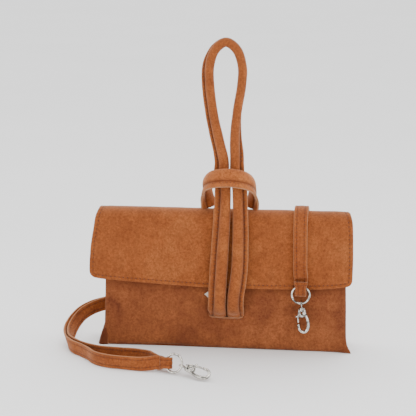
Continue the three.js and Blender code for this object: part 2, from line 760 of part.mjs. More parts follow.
function makeSnapHook(name, origin, eyeSide, hookSide, back) {
  const eyeFrame = frameAt(origin, eyeSide, back);
  const hookFrame = frameAt(origin, hookSide, back);
  const at = (z) => v3(0, 0, z);
  const eyeDrop = -(eyeRadius - eyeWire - ringWire - 0.1);
  const studTop = eyeDrop - eyeRadius;
  const headTop = hookNeck - 3.2;
  const headBottom = headTop - 1.1;
  const eye = torusAt(at(eyeDrop), v3(1, 0, 0), eyeRadius, eyeWire, 14, 7);
  const shank = rod(studRadius, at(studTop), at(headTop - 0.4), 10);
  const stud = join(eye, shank, rod(studHead, at(headTop), at(headBottom), 10));
  add(`${name}_eye`, stud.applyMatrix4(eyeFrame), nickelFinish);

  const half = hookThickness / 2;
  const [px, pz] = pivotPlace;
  const slotHalf = triggerThickness / 2 + gap;
  const boreRadius = studRadius + gap;
  const hook = cut(
    acrossY(hookOutline(), -half, half),
    rod(boreRadius, at(hookNeck + 1), at(headTop), 10),
    box(
      [-studHead - gap, -half - 1, headBottom - gap],
      [studHead + gap, half + 1, headTop + gap],
    ),
    box([-9, -slotHalf, pz - 12], [px + 2, slotHalf, pz + 2.2]),
    box([px + 1, -1.2, pz - 2], [2.6, 1.2, pz + 0.4]),
    rod(pinRadius + gap, v3(px, -half - 1, pz), v3(px, half + 1, pz), 8),
  );
  const notch = box([-9, -slotHalf, noseTop - 2], [-5.2, slotHalf, noseTop + 1]);
  const tip = acrossY([[-6.4, -24.4], [-3.8, -24.4], [-3.7, noseTop], [-6.4, noseTop]], -half, half);
  add(`${name}_hook`, join(hook, cut(tip, notch)).applyMatrix4(hookFrame), nickelFinish);

  const bore = rod(pinRadius + gap, v3(px, -half, pz), v3(px, half, pz), 8);
  const trigger = cut(acrossY(triggerOutline(), -triggerThickness / 2, triggerThickness / 2), bore);
  add(`${name}_trigger`, trigger.applyMatrix4(hookFrame), nickelFinish);
  const pin = rod(pinRadius, v3(px, -half, pz), v3(px, half, pz), 8);
  add(`${name}_pin`, pin.applyMatrix4(hookFrame), nickelFinish);
  add(`${name}_spring`, springGeometry().applyMatrix4(hookFrame), nickelFinish);
}

function ringPoint(ring, angle) {
  const middle = ring.fold.clone().addScaledVector(ring.inward, ringRadius);
  return middle
    .addScaledVector(ring.inward, ringRadius * Math.cos(angle))
    .addScaledVector(ring.along, ringRadius * Math.sin(angle));
}

const rightHookTilt = radians(6);
const leftHookDirection = v3(0.91, -0.39, -0.13).normalize();
const leftHookPlace = radians(14.8);
const leftHookRoll = radians(40);

function makeHardware() {
  for (const [name, ring] of [['right_ring', rightRing], ['left_ring', leftRing]]) {
    const middle = ring.fold.clone().addScaledVector(ring.inward, ringRadius);
    const normal = ring.inward.clone().cross(ring.along);
    add(name, torusAt(middle, normal, ringRadius, ringWire, 24, 8), nickelFinish);
  }
  const back = v3(-Math.sin(rightHookTilt), 0, Math.cos(rightHookTilt));
  makeSnapHook('right_clasp', ringPoint(rightRing, rightHookTilt), v3(1, 0, 0), v3(1, 0, 0), back);

  const toCamera = leftHookDirection.clone().cross(v3(0, 0, 1)).normalize();
  const upward = toCamera.clone().cross(leftHookDirection).normalize();
  const hookSide = toCamera.multiplyScalar(Math.cos(leftHookRoll));
  hookSide.addScaledVector(upward, -Math.sin(leftHookRoll));
  const tangent = leftRing.inward.clone().multiplyScalar(-Math.sin(leftHookPlace));
  tangent.addScaledVector(leftRing.along, Math.cos(leftHookPlace));
  const leftBack = leftHookDirection.clone().negate();
  makeSnapHook('left_clasp', ringPoint(leftRing, leftHookPlace), tangent, hookSide, leftBack);
}

// ---------------------------------------------------------------- zip pocket
function comb(side, x0, x1) {
  const base = side * 2.2;
  const tip = -side * 0.7;
  const points = [[x0, base]];
  const shift = side > 0 ? 0 : toothPitch / 2;
  for (let x = x0 + 0.6 + shift; x + 1.4 < x1; x += toothPitch) {
    points.push([x, side * 1.1], [x + 0.3, tip], [x + 1.1, tip], [x + 1.4, side * 1.1]);
  }
  points.push([x1, side * 1.1], [x1, base]);
  points.splice(1, 0, [x0, side * 1.1]);
  return side > 0 ? points.reverse() : points;
}

function makeZip() {
  const face = liningDepth / 2 - cloth; // the lining's inner face
  const tapeBack = face - gap;
  const tapeFront = tapeBack - tapeThickness;
  const middle = (tapeBack + tapeFront) / 2;
  const x0 = -zipLength / 2;
  const x1 = zipLength / 2;
  for (const [name, side] of [['upper', 1], ['lower', -1]]) {
    const near = zipZ + side * (toothHeight + gap);
    const far = near + side * tapeWidth;
    const tape = box(
      [x0 - 3, tapeFront, Math.min(near, far)],
      [x1 + 6, tapeBack, Math.max(near, far)],
    );
    add(`zip_tape_${name}`, tape, tapeFinish);
    const outline = comb(side, x0, x1 - sliderLength).map(([x, z]) => [x, z + zipZ]);
    add(`zip_teeth_${name}`, acrossY(outline, middle - toothDepth / 2, middle + toothDepth / 2), nickelFinish);
  }

  // the slider is a cover over the teeth, with a side wall each way, and runs along in front of the tapes
  const sx = x1 - sliderLength / 2 + 1;
  const half = sliderLength / 2;
  const halfZ = toothHeight + 1.9;
  const room = toothDepth / 2 + gap;
  const frontY = middle - room - 0.8;
  const body = cut(
    box([sx - half, frontY, zipZ - halfZ], [sx + half, tapeFront - gap, zipZ + halfZ]),
    box(
      [sx - half - 1, middle - room, zipZ - toothHeight - gap],
      [sx + half + 1, middle + 1, zipZ + toothHeight + gap],
    ),
  );
  const bailTop = frontY - 2.7;
  const bail = cut(
    box([sx - 3.1, bailTop, zipZ - 0.6], [sx + 3.1, frontY + 0.2, zipZ + 0.6]),
    box([sx - 2.3, bailTop + 0.8, zipZ - 1], [sx + 2.3, frontY, zipZ + 1]),
  );
  add('zip_slider', join(body, bail), nickelFinish);

  const pinY = (bailTop + 0.8 + frontY) / 2;
  const pull = new THREE.Shape();
  pull.moveTo(sx + 0.5, zipZ - 2.4);
  pull.lineTo(sx + 0.5, zipZ + 2.4);
  pull.lineTo(sx - 6, zipZ + 2.4);
  pull.lineTo(sx - pullerLength + 2, zipZ + 3);
  pull.quadraticCurveTo(sx - pullerLength - 1, zipZ, sx - pullerLength + 2, zipZ - 3);
  pull.lineTo(sx - 6, zipZ - 2.4);
  const window = box([sx - 4.4, pinY - 3, zipZ - 1.4], [sx - 0.5, pinY + 3, zipZ + 1.4]);
  add('zip_puller', cut(acrossY(pull, pinY - 0.45, pinY + 0.45), window), nickelFinish);

  const pocketFront = liningDepth / 2 + gap + 1.6;
  const pocket = box(
    [x0 - 4, pocketFront, zipZ - pocketDrop],
    [x1 + 4, pocketFront + pocketThickness, zipZ - zipWindow / 2],
  );
  add('zip_pocket', pocket, liningFinish);
}

// ---------------------------------------------------------------- inner D rings
function makeInnerRings() {
  for (const [name, side] of [['left', -1], ['right', 1]]) {
    const x = side * (gussetInside - tabThickness - 2 * gap - dRingWire);
    const half = dRingWidth / 2;
    const route = [
      [x, -half + 1, dRingTop], [x, 0, dRingTop], [x, half - 1, dRingTop], [x, half, dRingTop - 1.5],
      [x, half, dRingTop - 3.5], [x, half * 0.75, dRingTop - 7.8], [x, 0, dRingTop - 10.5],
      [x, -half * 0.75, dRingTop - 7.8], [x, -half, dRingTop - 3.5], [x, -half, dRingTop - 1.5],
    ].map((at) => ({ at, across: [1, 0, 0] }));
    add(`d_ring_${name}`, sweep(route, 32, () => circle(dRingWire, 6), true), nickelFinish);

    // a leather tab, folded round the ring's bar and sewn to the gusset above it
    const r = dRingWire + gap;
    const t = tabThickness;
    const fold = (radius) =>
      [0, 45, 90, 135, 180].map((a) => [radius * Math.cos(radians(a)), -radius * Math.sin(radians(a))]);
    const top = tabHeight;
    const outside = [...fold(r + t), [-r - t, top], [-r, top]];
    const outline = [...outside, ...fold(r).reverse(), [r, top], [r + t, top]];
    const tab = acrossY(outline.map(([a, z]) => [x + a, dRingTop + z]), -tabWidth / 2, tabWidth / 2);
    add(`d_ring_tab_${name}`, tab, suedeFinish);
  }
}

makeBody();
makeFlap();
makeWristLoop();
makeKeeper();
makeStrap();
makeHardware();
makeZip();
makeInnerRings();

export default group;
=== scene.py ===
import math

import bmesh
import bpy
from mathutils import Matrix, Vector, noise


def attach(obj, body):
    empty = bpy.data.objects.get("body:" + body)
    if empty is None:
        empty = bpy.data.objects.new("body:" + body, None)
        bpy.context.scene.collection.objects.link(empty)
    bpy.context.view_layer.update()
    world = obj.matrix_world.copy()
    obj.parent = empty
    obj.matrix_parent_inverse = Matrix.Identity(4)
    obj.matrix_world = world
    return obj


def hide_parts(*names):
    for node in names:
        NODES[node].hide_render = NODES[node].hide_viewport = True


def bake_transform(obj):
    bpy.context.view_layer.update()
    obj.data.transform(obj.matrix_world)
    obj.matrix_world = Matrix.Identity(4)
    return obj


# Suede clutch bag. Lengths are in millimetres, and mesh points become metres in make_mesh().
MM = 0.001

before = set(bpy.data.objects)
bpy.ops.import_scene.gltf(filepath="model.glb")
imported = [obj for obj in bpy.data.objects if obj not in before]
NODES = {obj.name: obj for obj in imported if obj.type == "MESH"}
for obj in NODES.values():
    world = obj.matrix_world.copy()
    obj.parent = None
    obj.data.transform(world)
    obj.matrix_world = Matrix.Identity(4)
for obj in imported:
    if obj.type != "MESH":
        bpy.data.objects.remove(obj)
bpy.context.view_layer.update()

# ------------------------------------------------------------------ sizes shared with the part
PANEL_TOP = 136
MOUTH_DEPTH = 25
BODY_DEPTH = 36
PANEL_CURVE = 1.6
SUEDE = 1.6
FLAP_CLEARANCE = 2
FLAP_ARCH = 10.6
FLAP_THICKNESS = 3.4
FLAP_REST = 1.9  # from the flap's inner face to the inside of its outer suede
HINGE_ANGLE = 165
LINING_HALF = 10.2
LINING_HALF_X = 123.6
LINING_BOTTOM = 3.7
LINING_TOP = 132
ZIP_Z = 104
STRAP_WIDTH = 14.5
STRAP_THICKNESS = 2.2
STRAP_X = 83
STRAP_END_Z = 83.8
RING_RADIUS = 9.3
RING_WIRE = 1.2
PINCHED_HALF = 5.8


def mix(a, b, t):
    return a + (b - a) * min(max(t, 0.0), 1.0)


def smooth(low, high, value):
    t = min(max((value - low) / (high - low), 0.0), 1.0)
    return t * t * (3 - 2 * t)


def through(points, value):
    """The second value of the listed (first, second) points, followed smoothly at a first value."""
    value = min(max(value, points[0][0]), points[-1][0])
    k = next(i for i in range(len(points) - 1) if value <= points[i + 1][0])
    (a, p), (b, q) = points[k], points[k + 1]
    before, after = points[max(k - 1, 0)], points[min(k + 2, len(points) - 1)]
    enter = (q - before[1]) / (b - before[0]) * (b - a)
    leave = (after[1] - p) / (after[0] - a) * (b - a)
    t = (value - a) / (b - a)
    return (
        p * (2 * t**3 - 3 * t**2 + 1)
        + q * (3 * t**2 - 2 * t**3)
        + enter * (t**3 - 2 * t**2 + t)
        + leave * (t**3 - t**2)
    )


def panel_out(z):
    lean = math.cos(math.pi / 2 * (max(z, 0) / PANEL_TOP) ** PANEL_CURVE)
    return MOUTH_DEPTH / 2 + (BODY_DEPTH - MOUTH_DEPTH) / 2 * lean


def waves(x, y, size, amount, seed):
    """A gentle swell, the same in every run."""
    return amount * noise.noise(Vector((x / size, y / size, seed)))


# ------------------------------------------------------------------ camera
def add_camera():
    target = Vector((-17, 0, 150)) * MM
    azimuth, elevation, distance = math.radians(6), math.radians(14), 1.3
    away = Vector(
        (
            math.sin(azimuth) * math.cos(elevation),
            -math.cos(azimuth) * math.cos(elevation),
            math.sin(elevation),
        )
    )
    data = bpy.data.cameras.new("camera")
    data.sensor_width = 36
    data.lens = 106.5
    camera = bpy.data.objects.new("camera", data)
    bpy.context.scene.collection.objects.link(camera)
    camera.location = target + away * distance
    camera.rotation_euler = (-away).to_track_quat("-Z", "Y").to_euler()
    bpy.context.scene.camera = camera


# ------------------------------------------------------------------ materials
class Paint:
    """A small helper that wires a node material."""

    def __init__(self, name):
        self.material = bpy.data.materials.new(name)
        self.material.use_nodes = True
        self.nodes = self.material.node_tree.nodes
        self.links = self.material.node_tree.links
        self.shader = self.nodes["Principled BSDF"]
        self.place = self.nodes.new("ShaderNodeTexCoord").outputs["Object"]

    def link(self, out, into):
        self.links.new(out, into)

    def noise(self, scale, detail=3.0, roughness=0.6, distortion=0.0, stretch=None):
        node = self.nodes.new("ShaderNodeTexNoise")
        node.inputs["Scale"].default_value = scale
        node.inputs["Detail"].default_value = detail
        node.inputs["Roughness"].default_value = roughness
        node.inputs["Distortion"].default_value = distortion
        place = self.place
        if stretch:
            mapping = self.nodes.new("ShaderNodeMapping")
            mapping.inputs["Scale"].default_value = stretch
            self.link(place, mapping.inputs["Vector"])
            place = mapping.outputs["Vector"]
        self.link(place, node.inputs["Vector"])
        return node.outputs["Fac"]

    def ramp(self, factor, *stops):
        node = self.nodes.new("ShaderNodeValToRGB")
        band = node.color_ramp
        while len(band.elements) < len(stops):
            band.elements.new(0.5)
        for element, (place, colour) in zip(band.elements, stops):
            element.position = place
            element.color = colour if len(colour) == 4 else (*colour, 1)
        self.link(factor, node.inputs["Fac"])
        return node.outputs["Color"]

    def blend(self, factor, a, b, mode="MIX"):
        node = self.nodes.new("ShaderNodeMix")
        node.data_type = "RGBA"
        node.blend_type = mode
        sockets = [s for s in node.inputs if s.type == "RGBA"]
        for socket, value in zip(sockets, (a, b)):
            if isinstance(value, tuple):
                socket.default_value = (*value, 1)
            else:
                self.link(value, socket)
        if isinstance(factor, float):
            node.inputs["Factor"].default_value = factor
        else:
            self.link(factor, node.inputs["Factor"])
        return [s for s in node.outputs if s.type == "RGBA"][0]

    def math(self, operation, a, b):
        node = self.nodes.new("ShaderNodeMath")
        node.operation = operation
        for socket, value in zip(node.inputs, (a, b)):
            if isinstance(value, (int, float)):
                socket.default_value = value
            else:
                self.link(value, socket)
        return node.outputs[0]

    def attribute(self, name):
        node = self.nodes.new("ShaderNodeAttribute")
        node.attribute_name = name
        return node.outputs["Fac"]

    def bump(self, *heights, distance=0.0004, strength=0.6):
        normal = None
        for height in heights:
            node = self.nodes.new("ShaderNodeBump")
            node.inputs["Distance"].default_value = distance
            node.inputs["Strength"].default_value = strength
            self.link(height, node.inputs["Height"])
            if normal:
                self.link(normal, node.inputs["Normal"])
            normal = node.outputs["Normal"]
        self.link(normal, self.shader.inputs["Normal"])

    def set(self, **values):
        for name, value in values.items():
            self.shader.inputs[name.replace("_", " ")].default_value = value


# colour of painted shade, blended in where the painted-shade attribute is set
PAINTED_SHADE_COLOUR = (0.085, 0.018, 0.006)
PALE = (0.42, 0.2, 0.1)


def suede_paint(name, deep, mid, light):
    """Napped suede: brushed patches, a fine salt-and-pepper nap, painted shade and pale cut edges.
    The mesh attribute for painted shade is 1 where shade is painted in, and the cut attribute is 1 on a cut
    edge."""
    paint = Paint(name)
    patches = paint.noise(30, 4, 0.6, 0.4)
    strokes = paint.noise(120, 3, 0.6, 1.0, (1, 1, 0.6))
    grain = paint.noise(430, 3, 0.7)
    nap = paint.noise(1050, 4, 0.75)
    colour = paint.ramp(patches, (0.3, deep), (0.5, mid), (0.72, light))
    stroke_tint = paint.ramp(strokes, (0.36, (0.80, 0.78, 0.76)), (0.62, (1.12, 1.1, 1.08)))
    colour = paint.blend(0.4, colour, stroke_tint, "MULTIPLY")
    grain_tint = paint.ramp(grain, (0.36, (0.62, 0.55, 0.5)), (0.5, (1, 1, 1)), (0.66, (1.3, 1.32, 1.34)))
    colour = paint.blend(0.6, colour, grain_tint, "MULTIPLY")
    nap_tint = paint.ramp(nap, (0.34, (0.58, 0.5, 0.44)), (0.5, (1, 1, 1)), (0.68, (1.35, 1.38, 1.42)))
    colour = paint.blend(0.62, colour, nap_tint, "MULTIPLY")
    # painted shade: creases, seams, stitch grooves, the foot, the side walls and the band under the flap are
    # painted darker
    colour = paint.blend(paint.attribute("painted_shade"), colour, PAINTED_SHADE_COLOUR)
    fibres = paint.noise(2300, 3, 0.7)
    cut_colour = paint.blend(fibres, PALE, tuple(c * 0.72 for c in PALE))
    colour = paint.blend(paint.attribute("cut"), colour, cut_colour)
    paint.link(colour, paint.shader.inputs["Base Color"])
    rough = paint.ramp(nap, (0.3, (0.8, 0.8, 0.8)), (0.7, (0.98, 0.98, 0.98)))
    paint.link(rough, paint.shader.inputs["Roughness"])
    paint.bump(nap, strokes, distance=0.00035, strength=0.55)
    paint.set(Sheen_Weight=0.3, Sheen_Roughness=0.45, Sheen_Tint=(1.0, 0.72, 0.5, 1), Specular_IOR_Level=0.15)
    return paint.material


def thread_paint():
    paint = Paint("waxed_thread")
    strand = paint.noise(2600, 2, 0.5)
    colour = paint.ramp(strand, (0.3, (0.04, 0.01, 0.004)), (0.7, (0.11, 0.03, 0.011)))
    paint.link(colour, paint.shader.inputs["Base Color"])
    paint.set(Roughness=0.6, Specular_IOR_Level=0.3)
    paint.bump(strand, distance=0.0001)
    return paint.material


def weave_paint(name, low, high, scale, rough=0.85):
    """A plain weave: two crossed sets of fine ribs."""
    paint = Paint(name)
    ribs = []
    for axis in ("X", "Z"):
        wave = paint.nodes.new("ShaderNodeTexWave")
        wave.bands_direction = axis
        wave.inputs["Scale"].default_value = scale
        wave.inputs["Distortion"].default_value = 0.6
        wave.inputs["Detail"].default_value = 1.5
        wave.inputs["Detail Scale"].default_value = 1.0
        paint.link(paint.place, wave.inputs["Vector"])
        ribs.append(wave.outputs["Fac"])
    weave = paint.math("MULTIPLY", ribs[0], ribs[1])
    folds = paint.noise(30, 3, 0.6)
    colour = paint.blend(weave, low, high)
    tint = paint.ramp(folds, (0.3, (0.75, 0.75, 0.75)), (0.7, (1.15, 1.15, 1.15)))
    colour = paint.blend(0.6, colour, tint, "MULTIPLY")
    paint.link(colour, paint.shader.inputs["Base Color"])
    paint.set(Roughness=rough, Sheen_Weight=0.25, Sheen_Roughness=0.5)
    paint.bump(weave, distance=0.0002, strength=0.5)
    return paint.material


def nickel_paint(name, tone, rough):
    """Polished nickel plate with fine handling marks and duller patches in its roughness; its colour carries
    painted reflections, darker and brighter patches standing in for the surroundings it mirrors.
    """
    paint = Paint(name)
    smudge_and_painted_reflection = paint.noise(260, 2, 0.5, 0.8)
    scratch = paint.noise(900, 2, 0.5, 0.0, (1, 14, 1))
    # painted reflection: the colour ramp runs from a darker tone to the full tone to imitate mirrored
    # surroundings
    painted_reflection_dark, painted_reflection_mid = (tuple(c * share for c in tone) for share in (0.22, 0.7))
    colour = paint.ramp(smudge_and_painted_reflection, (0.36, painted_reflection_dark), (0.47, painted_reflection_mid), (0.56, tone))
    paint.link(colour, paint.shader.inputs["Base Color"])
    level = paint.ramp(smudge_and_painted_reflection, (0.35, (rough,) * 3), (0.75, (rough + 0.14,) * 3))
    paint.link(level, paint.shader.inputs["Roughness"])
    paint.set(Metallic=1.0)
    paint.bump(scratch, distance=0.00003, strength=0.35)
    return paint.material


def board_paint():
    paint = Paint("pressed_board")
    fibre = paint.noise(700, 4, 0.7, 0.5)
    colour = paint.ramp(fibre, (0.3, (0.2, 0.16, 0.12)), (0.7, (0.42, 0.36, 0.29)))
    paint.link(colour, paint.shader.inputs["Base Color"])
    paint.set(Roughness=0.92)
    paint.bump(fibre, distance=0.0002)
    return paint.material


SUEDE_FLAP = suede_paint("suede_flap", (0.2, 0.053, 0.013), (0.238, 0.066, 0.017), (0.28, 0.086, 0.024))
# painted shade: a darker copy of the suede for the body below the flap, where less light falls
SUEDE_BODY_PAINTED_SHADE = suede_paint("suede_body_painted_shade", (0.135, 0.035, 0.0125), (0.198, 0.057, 0.0185), (0.262, 0.08, 0.026))
SUEDE_ROLL = suede_paint("suede_roll", (0.2, 0.053, 0.0135), (0.25, 0.07, 0.018), (0.305, 0.095, 0.025))
# painted light: a lighter copy of the suede for the keeper, which sits on top and catches the light
SUEDE_KEEPER_PAINTED_LIGHT = suede_paint(
    "suede_keeper_painted_light", (0.25, 0.068, 0.018), (0.31, 0.09, 0.024), (0.375, 0.122, 0.034)
)
SUEDE_STRAP = suede_paint(
    "suede_strap", (0.185, 0.046, 0.0115), (0.235, 0.062, 0.0155), (0.29, 0.085, 0.022)
)
THREAD = thread_paint()
LINING = weave_paint("lining_weave", (0.13, 0.06, 0.028), (0.29, 0.155, 0.078), 620)
TAPE = weave_paint("tape_weave", (0.1, 0.035, 0.015), (0.22, 0.085, 0.035), 900)
NICKEL = nickel_paint("polished_nickel", (0.66, 0.63, 0.57), 0.1)
TEETH = nickel_paint("nickel_teeth", (0.78, 0.76, 0.7), 0.25)
BOARD = board_paint()
# colour of the small pale triangle beside the left leg
PALE_CORNER_WEAVE = weave_paint("pale_corner_weave", (0.6, 0.52, 0.42), (0.8, 0.74, 0.65), 300)


# ------------------------------------------------------------------ mesh building
def make_mesh(name, points, faces, materials, slots=None, attributes=None, flat=False):
    mesh = bpy.data.meshes.new(name)
    mesh.from_pydata([Vector(p) * MM for p in points], [], faces)
    for material in materials:
        mesh.materials.append(material)
    if slots:
        mesh.polygons.foreach_set("material_index", slots)
    for key, values in (attributes or {}).items():
        mesh.attributes.new(key, "FLOAT", "POINT").data.foreach_set("value", values)
    # every mesh gets the painted-shade and cut attributes, zero unless given
    for key in ("painted_shade", "cut"):
        if key not in mesh.attributes:
            mesh.attributes.new(key, "FLOAT", "POINT")
    mesh.validate()
    mesh.update()
    if not flat:
        mesh.shade_smooth()
    obj = bpy.data.objects.new(name, mesh)
    bpy.context.scene.collection.objects.link(obj)
    return obj


def grid_shell(name, outer, inner, materials, painted_shade=None, skip=None):
    """A closed sheet from two matching grids of points. skip(i, j) leaves a cell open, and its walls
    are closed too. The cut edges are marked pale."""
    rows, columns = len(outer), len(outer[0])
    points = [p for row in outer for p in row] + [p for row in inner for p in row]
    half = rows * columns
    # painted shade per point of the outer grid; the inner grid gets none
    painted_shade_values = [0.0] * (2 * half)
    if painted_shade:
        for i in range(rows):
            for j in range(columns):
                painted_shade_values[i * columns + j] = painted_shade(i, j)
    cut_values = [0.0] * (2 * half)
    kept = {
        (i, j) for i in range(rows - 1) for j in range(columns - 1) if not (skip and skip(i, j))
    }
    faces = []
    for i, j in sorted(kept):
        a, b, c, d = (
            i * columns + j,
            i * columns + j + 1,
            (i + 1) * columns + j + 1,
            (i + 1) * columns + j,
        )
        faces.append((a, b, c, d))
        faces.append((d + half, c + half, b + half, a + half))
        for step, (p, q) in (((-1, 0), (a, b)), ((0, 1), (b, c)), ((1, 0), (c, d)), ((0, -1), (d, a))):
            if (i + step[0], j + step[1]) not in kept:
                ends = []
                for k in (p, q):
                    middle = (Vector(points[k]) + Vector(points[k + half])) / 2
                    points.append(tuple(middle))
                    painted_shade_values.append(0.0)
                    cut_values.append(0.9)
                    ends.append(len(points) - 1)
                faces.append((q, p, ends[0], ends[1]))
                faces.append((ends[1], ends[0], p + half, q + half))
    obj = make_mesh(name, points, faces, materials, None, {"painted_shade": painted_shade_values, "cut": cut_values})
    weld(obj)
    return obj


def weld(obj, distance=0.00001):
    mesh = bmesh.new()
    mesh.from_mesh(obj.data)
    bmesh.ops.remove_doubles(mesh, verts=mesh.verts, dist=distance)
    bmesh.ops.recalc_face_normals(mesh, faces=mesh.faces)
    mesh.to_mesh(obj.data)
    mesh.free()
    obj.data.shade_smooth()


def quads(rings, around, start=0):
    """Faces between neighbouring rings of points."""
    faces = []
    for ring in range(rings - 1):
        for k in range(around):
            a, b = start + ring * around + k, start + ring * around + (k + 1) % around
            faces.append((a, b, b + around, a + around))
    return faces


def caps(rings, around, start=0):
    """The first and the last ring, each closed by one face."""
    last = start + (rings - 1) * around
    return [
        tuple(start + k for k in reversed(range(around))),
        tuple(last + k for k in range(around)),
    ]


def ripple(distance, size, seed):
    """A slight unevenness along a route, the same in every run."""
    return noise.noise(Vector((distance / size, seed, 0)))


def folded(layers):
    """A flange's points: down one face, over its edge and back up the other."""
    return [*layers, *((a, -b, c, d) for a, b, c, d in reversed(layers[:-1]))]


class Route:
    """A smooth line through given points, each with the direction across it, resampled evenly."""

    def __init__(self, stops):
        self.places, self.sides = [], []
        points = [Vector(p) for p, _ in stops]
        sides = [Vector(s).normalized() for _, s in stops]
        first, last = points[0] * 2 - points[1], points[-1] * 2 - points[-2]
        padded = [first, *points, last]
        side_padded = [sides[0], *sides, sides[-1]]
        steps = 14
        for i in range(len(points) - 1):
            p = padded[i : i + 4]
            knots = [0.0]
            for a, b in zip(p, p[1:]):
                knots.append(knots[-1] + max((b - a).length, 1e-4) ** 0.5)
            for k in range(steps + (1 if i == len(points) - 2 else 0)):
                t = mix(knots[1], knots[2], k / steps)
                self.places.append(self.catmull(p, knots, t))
                s = side_padded[i : i + 4]
                u = k / steps
                side = (
                    s[1] * 2
                    + (s[2] - s[0]) * u
                    + (s[0] * 2 - s[1] * 5 + s[2] * 4 - s[3]) * u * u
                    + (s[1] * 3 - s[0] - s[2] * 3 + s[3]) * u**3
                )
                self.sides.append(side.normalized())
        self.lengths = [0.0]
        for a, b in zip(self.places, self.places[1:]):
            self.lengths.append(self.lengths[-1] + (b - a).length)

    @staticmethod
    def catmull(p, t, at):
        def between(a, b, ta, tb):
            return a * ((tb - at) / (tb - ta)) + b * ((at - ta) / (tb - ta))

        a1, a2, a3 = (between(p[i], p[i + 1], t[i], t[i + 1]) for i in range(3))
        b1, b2 = between(a1, a2, t[0], t[2]), between(a2, a3, t[1], t[3])
        return between(b1, b2, t[1], t[2])

    @property
    def length(self):
        return self.lengths[-1]

    def at(self, distance):
        """(place, along, across, out) a distance from the start."""
        distance = min(max(distance, 0.0), self.length)
        low, high = 0, len(self.lengths) - 1
        while high - low > 1:
            k = (low + high) // 2
            if self.lengths[k] <= distance:
                low = k
            else:
                high = k
        t = (distance - self.lengths[low]) / max(self.lengths[high] - self.lengths[low], 1e-9)
        place = self.places[low].lerp(self.places[high], t)
        before, after = max(low - 1, 0), min(high + 1, len(self.places) - 1)
        along_low = (self.places[high] - self.places[before]).normalized()
        along_high = (self.places[after] - self.places[low]).normalized()
        along = along_low.lerp(along_high, t).normalized()
        side = self.sides[low].lerp(self.sides[high], t)
        side = (side - along * side.dot(along)).normalized()
        return place, along, side, along.cross(side)


def swept(name, route, spacing, section, materials):
    """A closed skin along a route. section(distance) lists (across, out, painted shade, cut) points."""
    count = max(2, int(route.length / spacing))
    points, painted_shade, cut = [], [], []
    around = len(section(0.0))
    for i in range(count + 1):
        distance = route.length * i / count
        place, _, side, out = route.at(distance)
        for a, b, c, d in section(distance):
            points.append(place + side * a + out * b)
            painted_shade.append(c)
            cut.append(d)
    faces = quads(count + 1, around)
    for ring, reverse in ((0, True), (count, False)):
        start = ring * around
        middle = sum((points[start + k] for k in range(around)), Vector()) / around
        points.append(middle)
        painted_shade.append(0.0)
        cut.append(0.8)
        hub = len(points) - 1
        for k in range(around):
            edge = (start + k, start + (k + 1) % around)
            faces.append((*(reversed(edge) if reverse else edge), hub))
    obj = make_mesh(name, points, faces, materials, None, {"painted_shade": painted_shade, "cut": cut})
    weld(obj)
    return obj


def stitch_row(name, marks, length=2.6, width=0.62, sink=0.16):
    """One mesh of thread stitches. Each mark is (place, direction along the seam, outward direction).
    A stitch is a short strand that dips into the leather at its ends."""
    points, faces = [], []
    half_profile = ((0.12, 1, 0.35), (0.36, 0.75, -0.15), (0.5, 0.1, -0.9))
    profile = [(-share, swell, lift) for share, swell, lift in reversed(half_profile)] + [*half_profile]
    sides = 6
    for place, along, out in marks:
        place, along, out = Vector(place), Vector(along).normalized(), Vector(out).normalized()
        across = out.cross(along).normalized()
        start = len(points)
        for share, swell, lift in profile:
            centre = place + along * (length * share) + out * (width * lift * 0.5 - sink)
            for k in range(sides):
                turn = 2 * math.pi * k / sides
                radius = width / 2 * swell
                flat_turn = out * (radius * math.sin(turn) * 0.8)
                points.append(centre + across * (radius * math.cos(turn)) + flat_turn)
        faces += quads(len(profile), sides, start) + caps(len(profile), sides, start)
    return make_mesh(name, points, faces, [THREAD])


def row_marks(route, start, end, pitch, across, out, flip=False):
    """Stitch marks along a route at a distance across and out from its middle."""
    count = int((end - start) / pitch)
    marks = []
    for i in range(count):
        place, along, side, normal = route.at(start + (i + 0.5) * pitch)
        spot = place + side * (across(start + i * pitch) if callable(across) else across) + normal * out
        marks.append((spot, along, -normal if flip else normal))
    return marks


def put(obj, body, slot, *nodes):
    if body:
        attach(obj, body)
    if nodes:
        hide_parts(*nodes)
    return obj


# ------------------------------------------------------------------ flap
FLAP_LEFT = (
    (69, -140.3), (80, -141.4), (96, -140.8), (112, -139.4), (130, -136.6), (143, -134.6), (150, -132.2),
)
FLAP_RIGHT = ((69, 136.2), (100, 136.6), (128, 135.9), (141, 135.2), (147, 133.6), (151, 131))
FLAP_LOWER = (
    (-142, 77), (-125, 74.8), (-76, 72), (-14, 69.2), (26, 69.2), (76, 69.8), (113, 71.6), (138, 75.5),
)
FLAP_WIDTH = 276.0
FLAP_LOW_Z = 72  # about the height of the lower edge
FRONT_RISE = 60  # from the lower edge to the start of the fold
FLAP_CORNER = 6
STITCH_INSET = 3.7


def arch_point(offset, angle):
    front = -(MOUTH_DEPTH / 2 + FLAP_CLEARANCE)
    rear = MOUTH_DEPTH / 2 + 0.2 - FLAP_THICKNESS
    middle, across = (front + rear) / 2, (rear - front) / 2 + offset
    turn = math.radians(angle)
    return middle - across * math.cos(turn), PANEL_TOP + (FLAP_ARCH + offset) * math.sin(turn)


def flap_levels():
    """Rows from the lower edge up: heights above the edge, then angles over the fold."""
    rises = [0, 0.25, 0.8, 1.6, 2.6, 3.2, 3.7, 4.2, 4.8, 5.8, 7, 8.4, 10]
    while rises[-1] < FRONT_RISE - 3:
        rises.append(rises[-1] + 2.4)
    angles = [HINGE_ANGLE * k / 26 for k in range(27)]
    return rises, angles


def flap_columns(trim):
    """Shares across the flap, closer together near its sides."""
    near = [0, 0.3, 1, 2, 3.0, 3.7, 4.4, 5.6, 7.4, 9.6]
    width = FLAP_WIDTH - 2 * trim
    inner = [9.6 + (width - 19.2) * k / 112 for k in range(1, 112)]
    return [v / width for v in near + inner + [width - v for v in reversed(near)]]


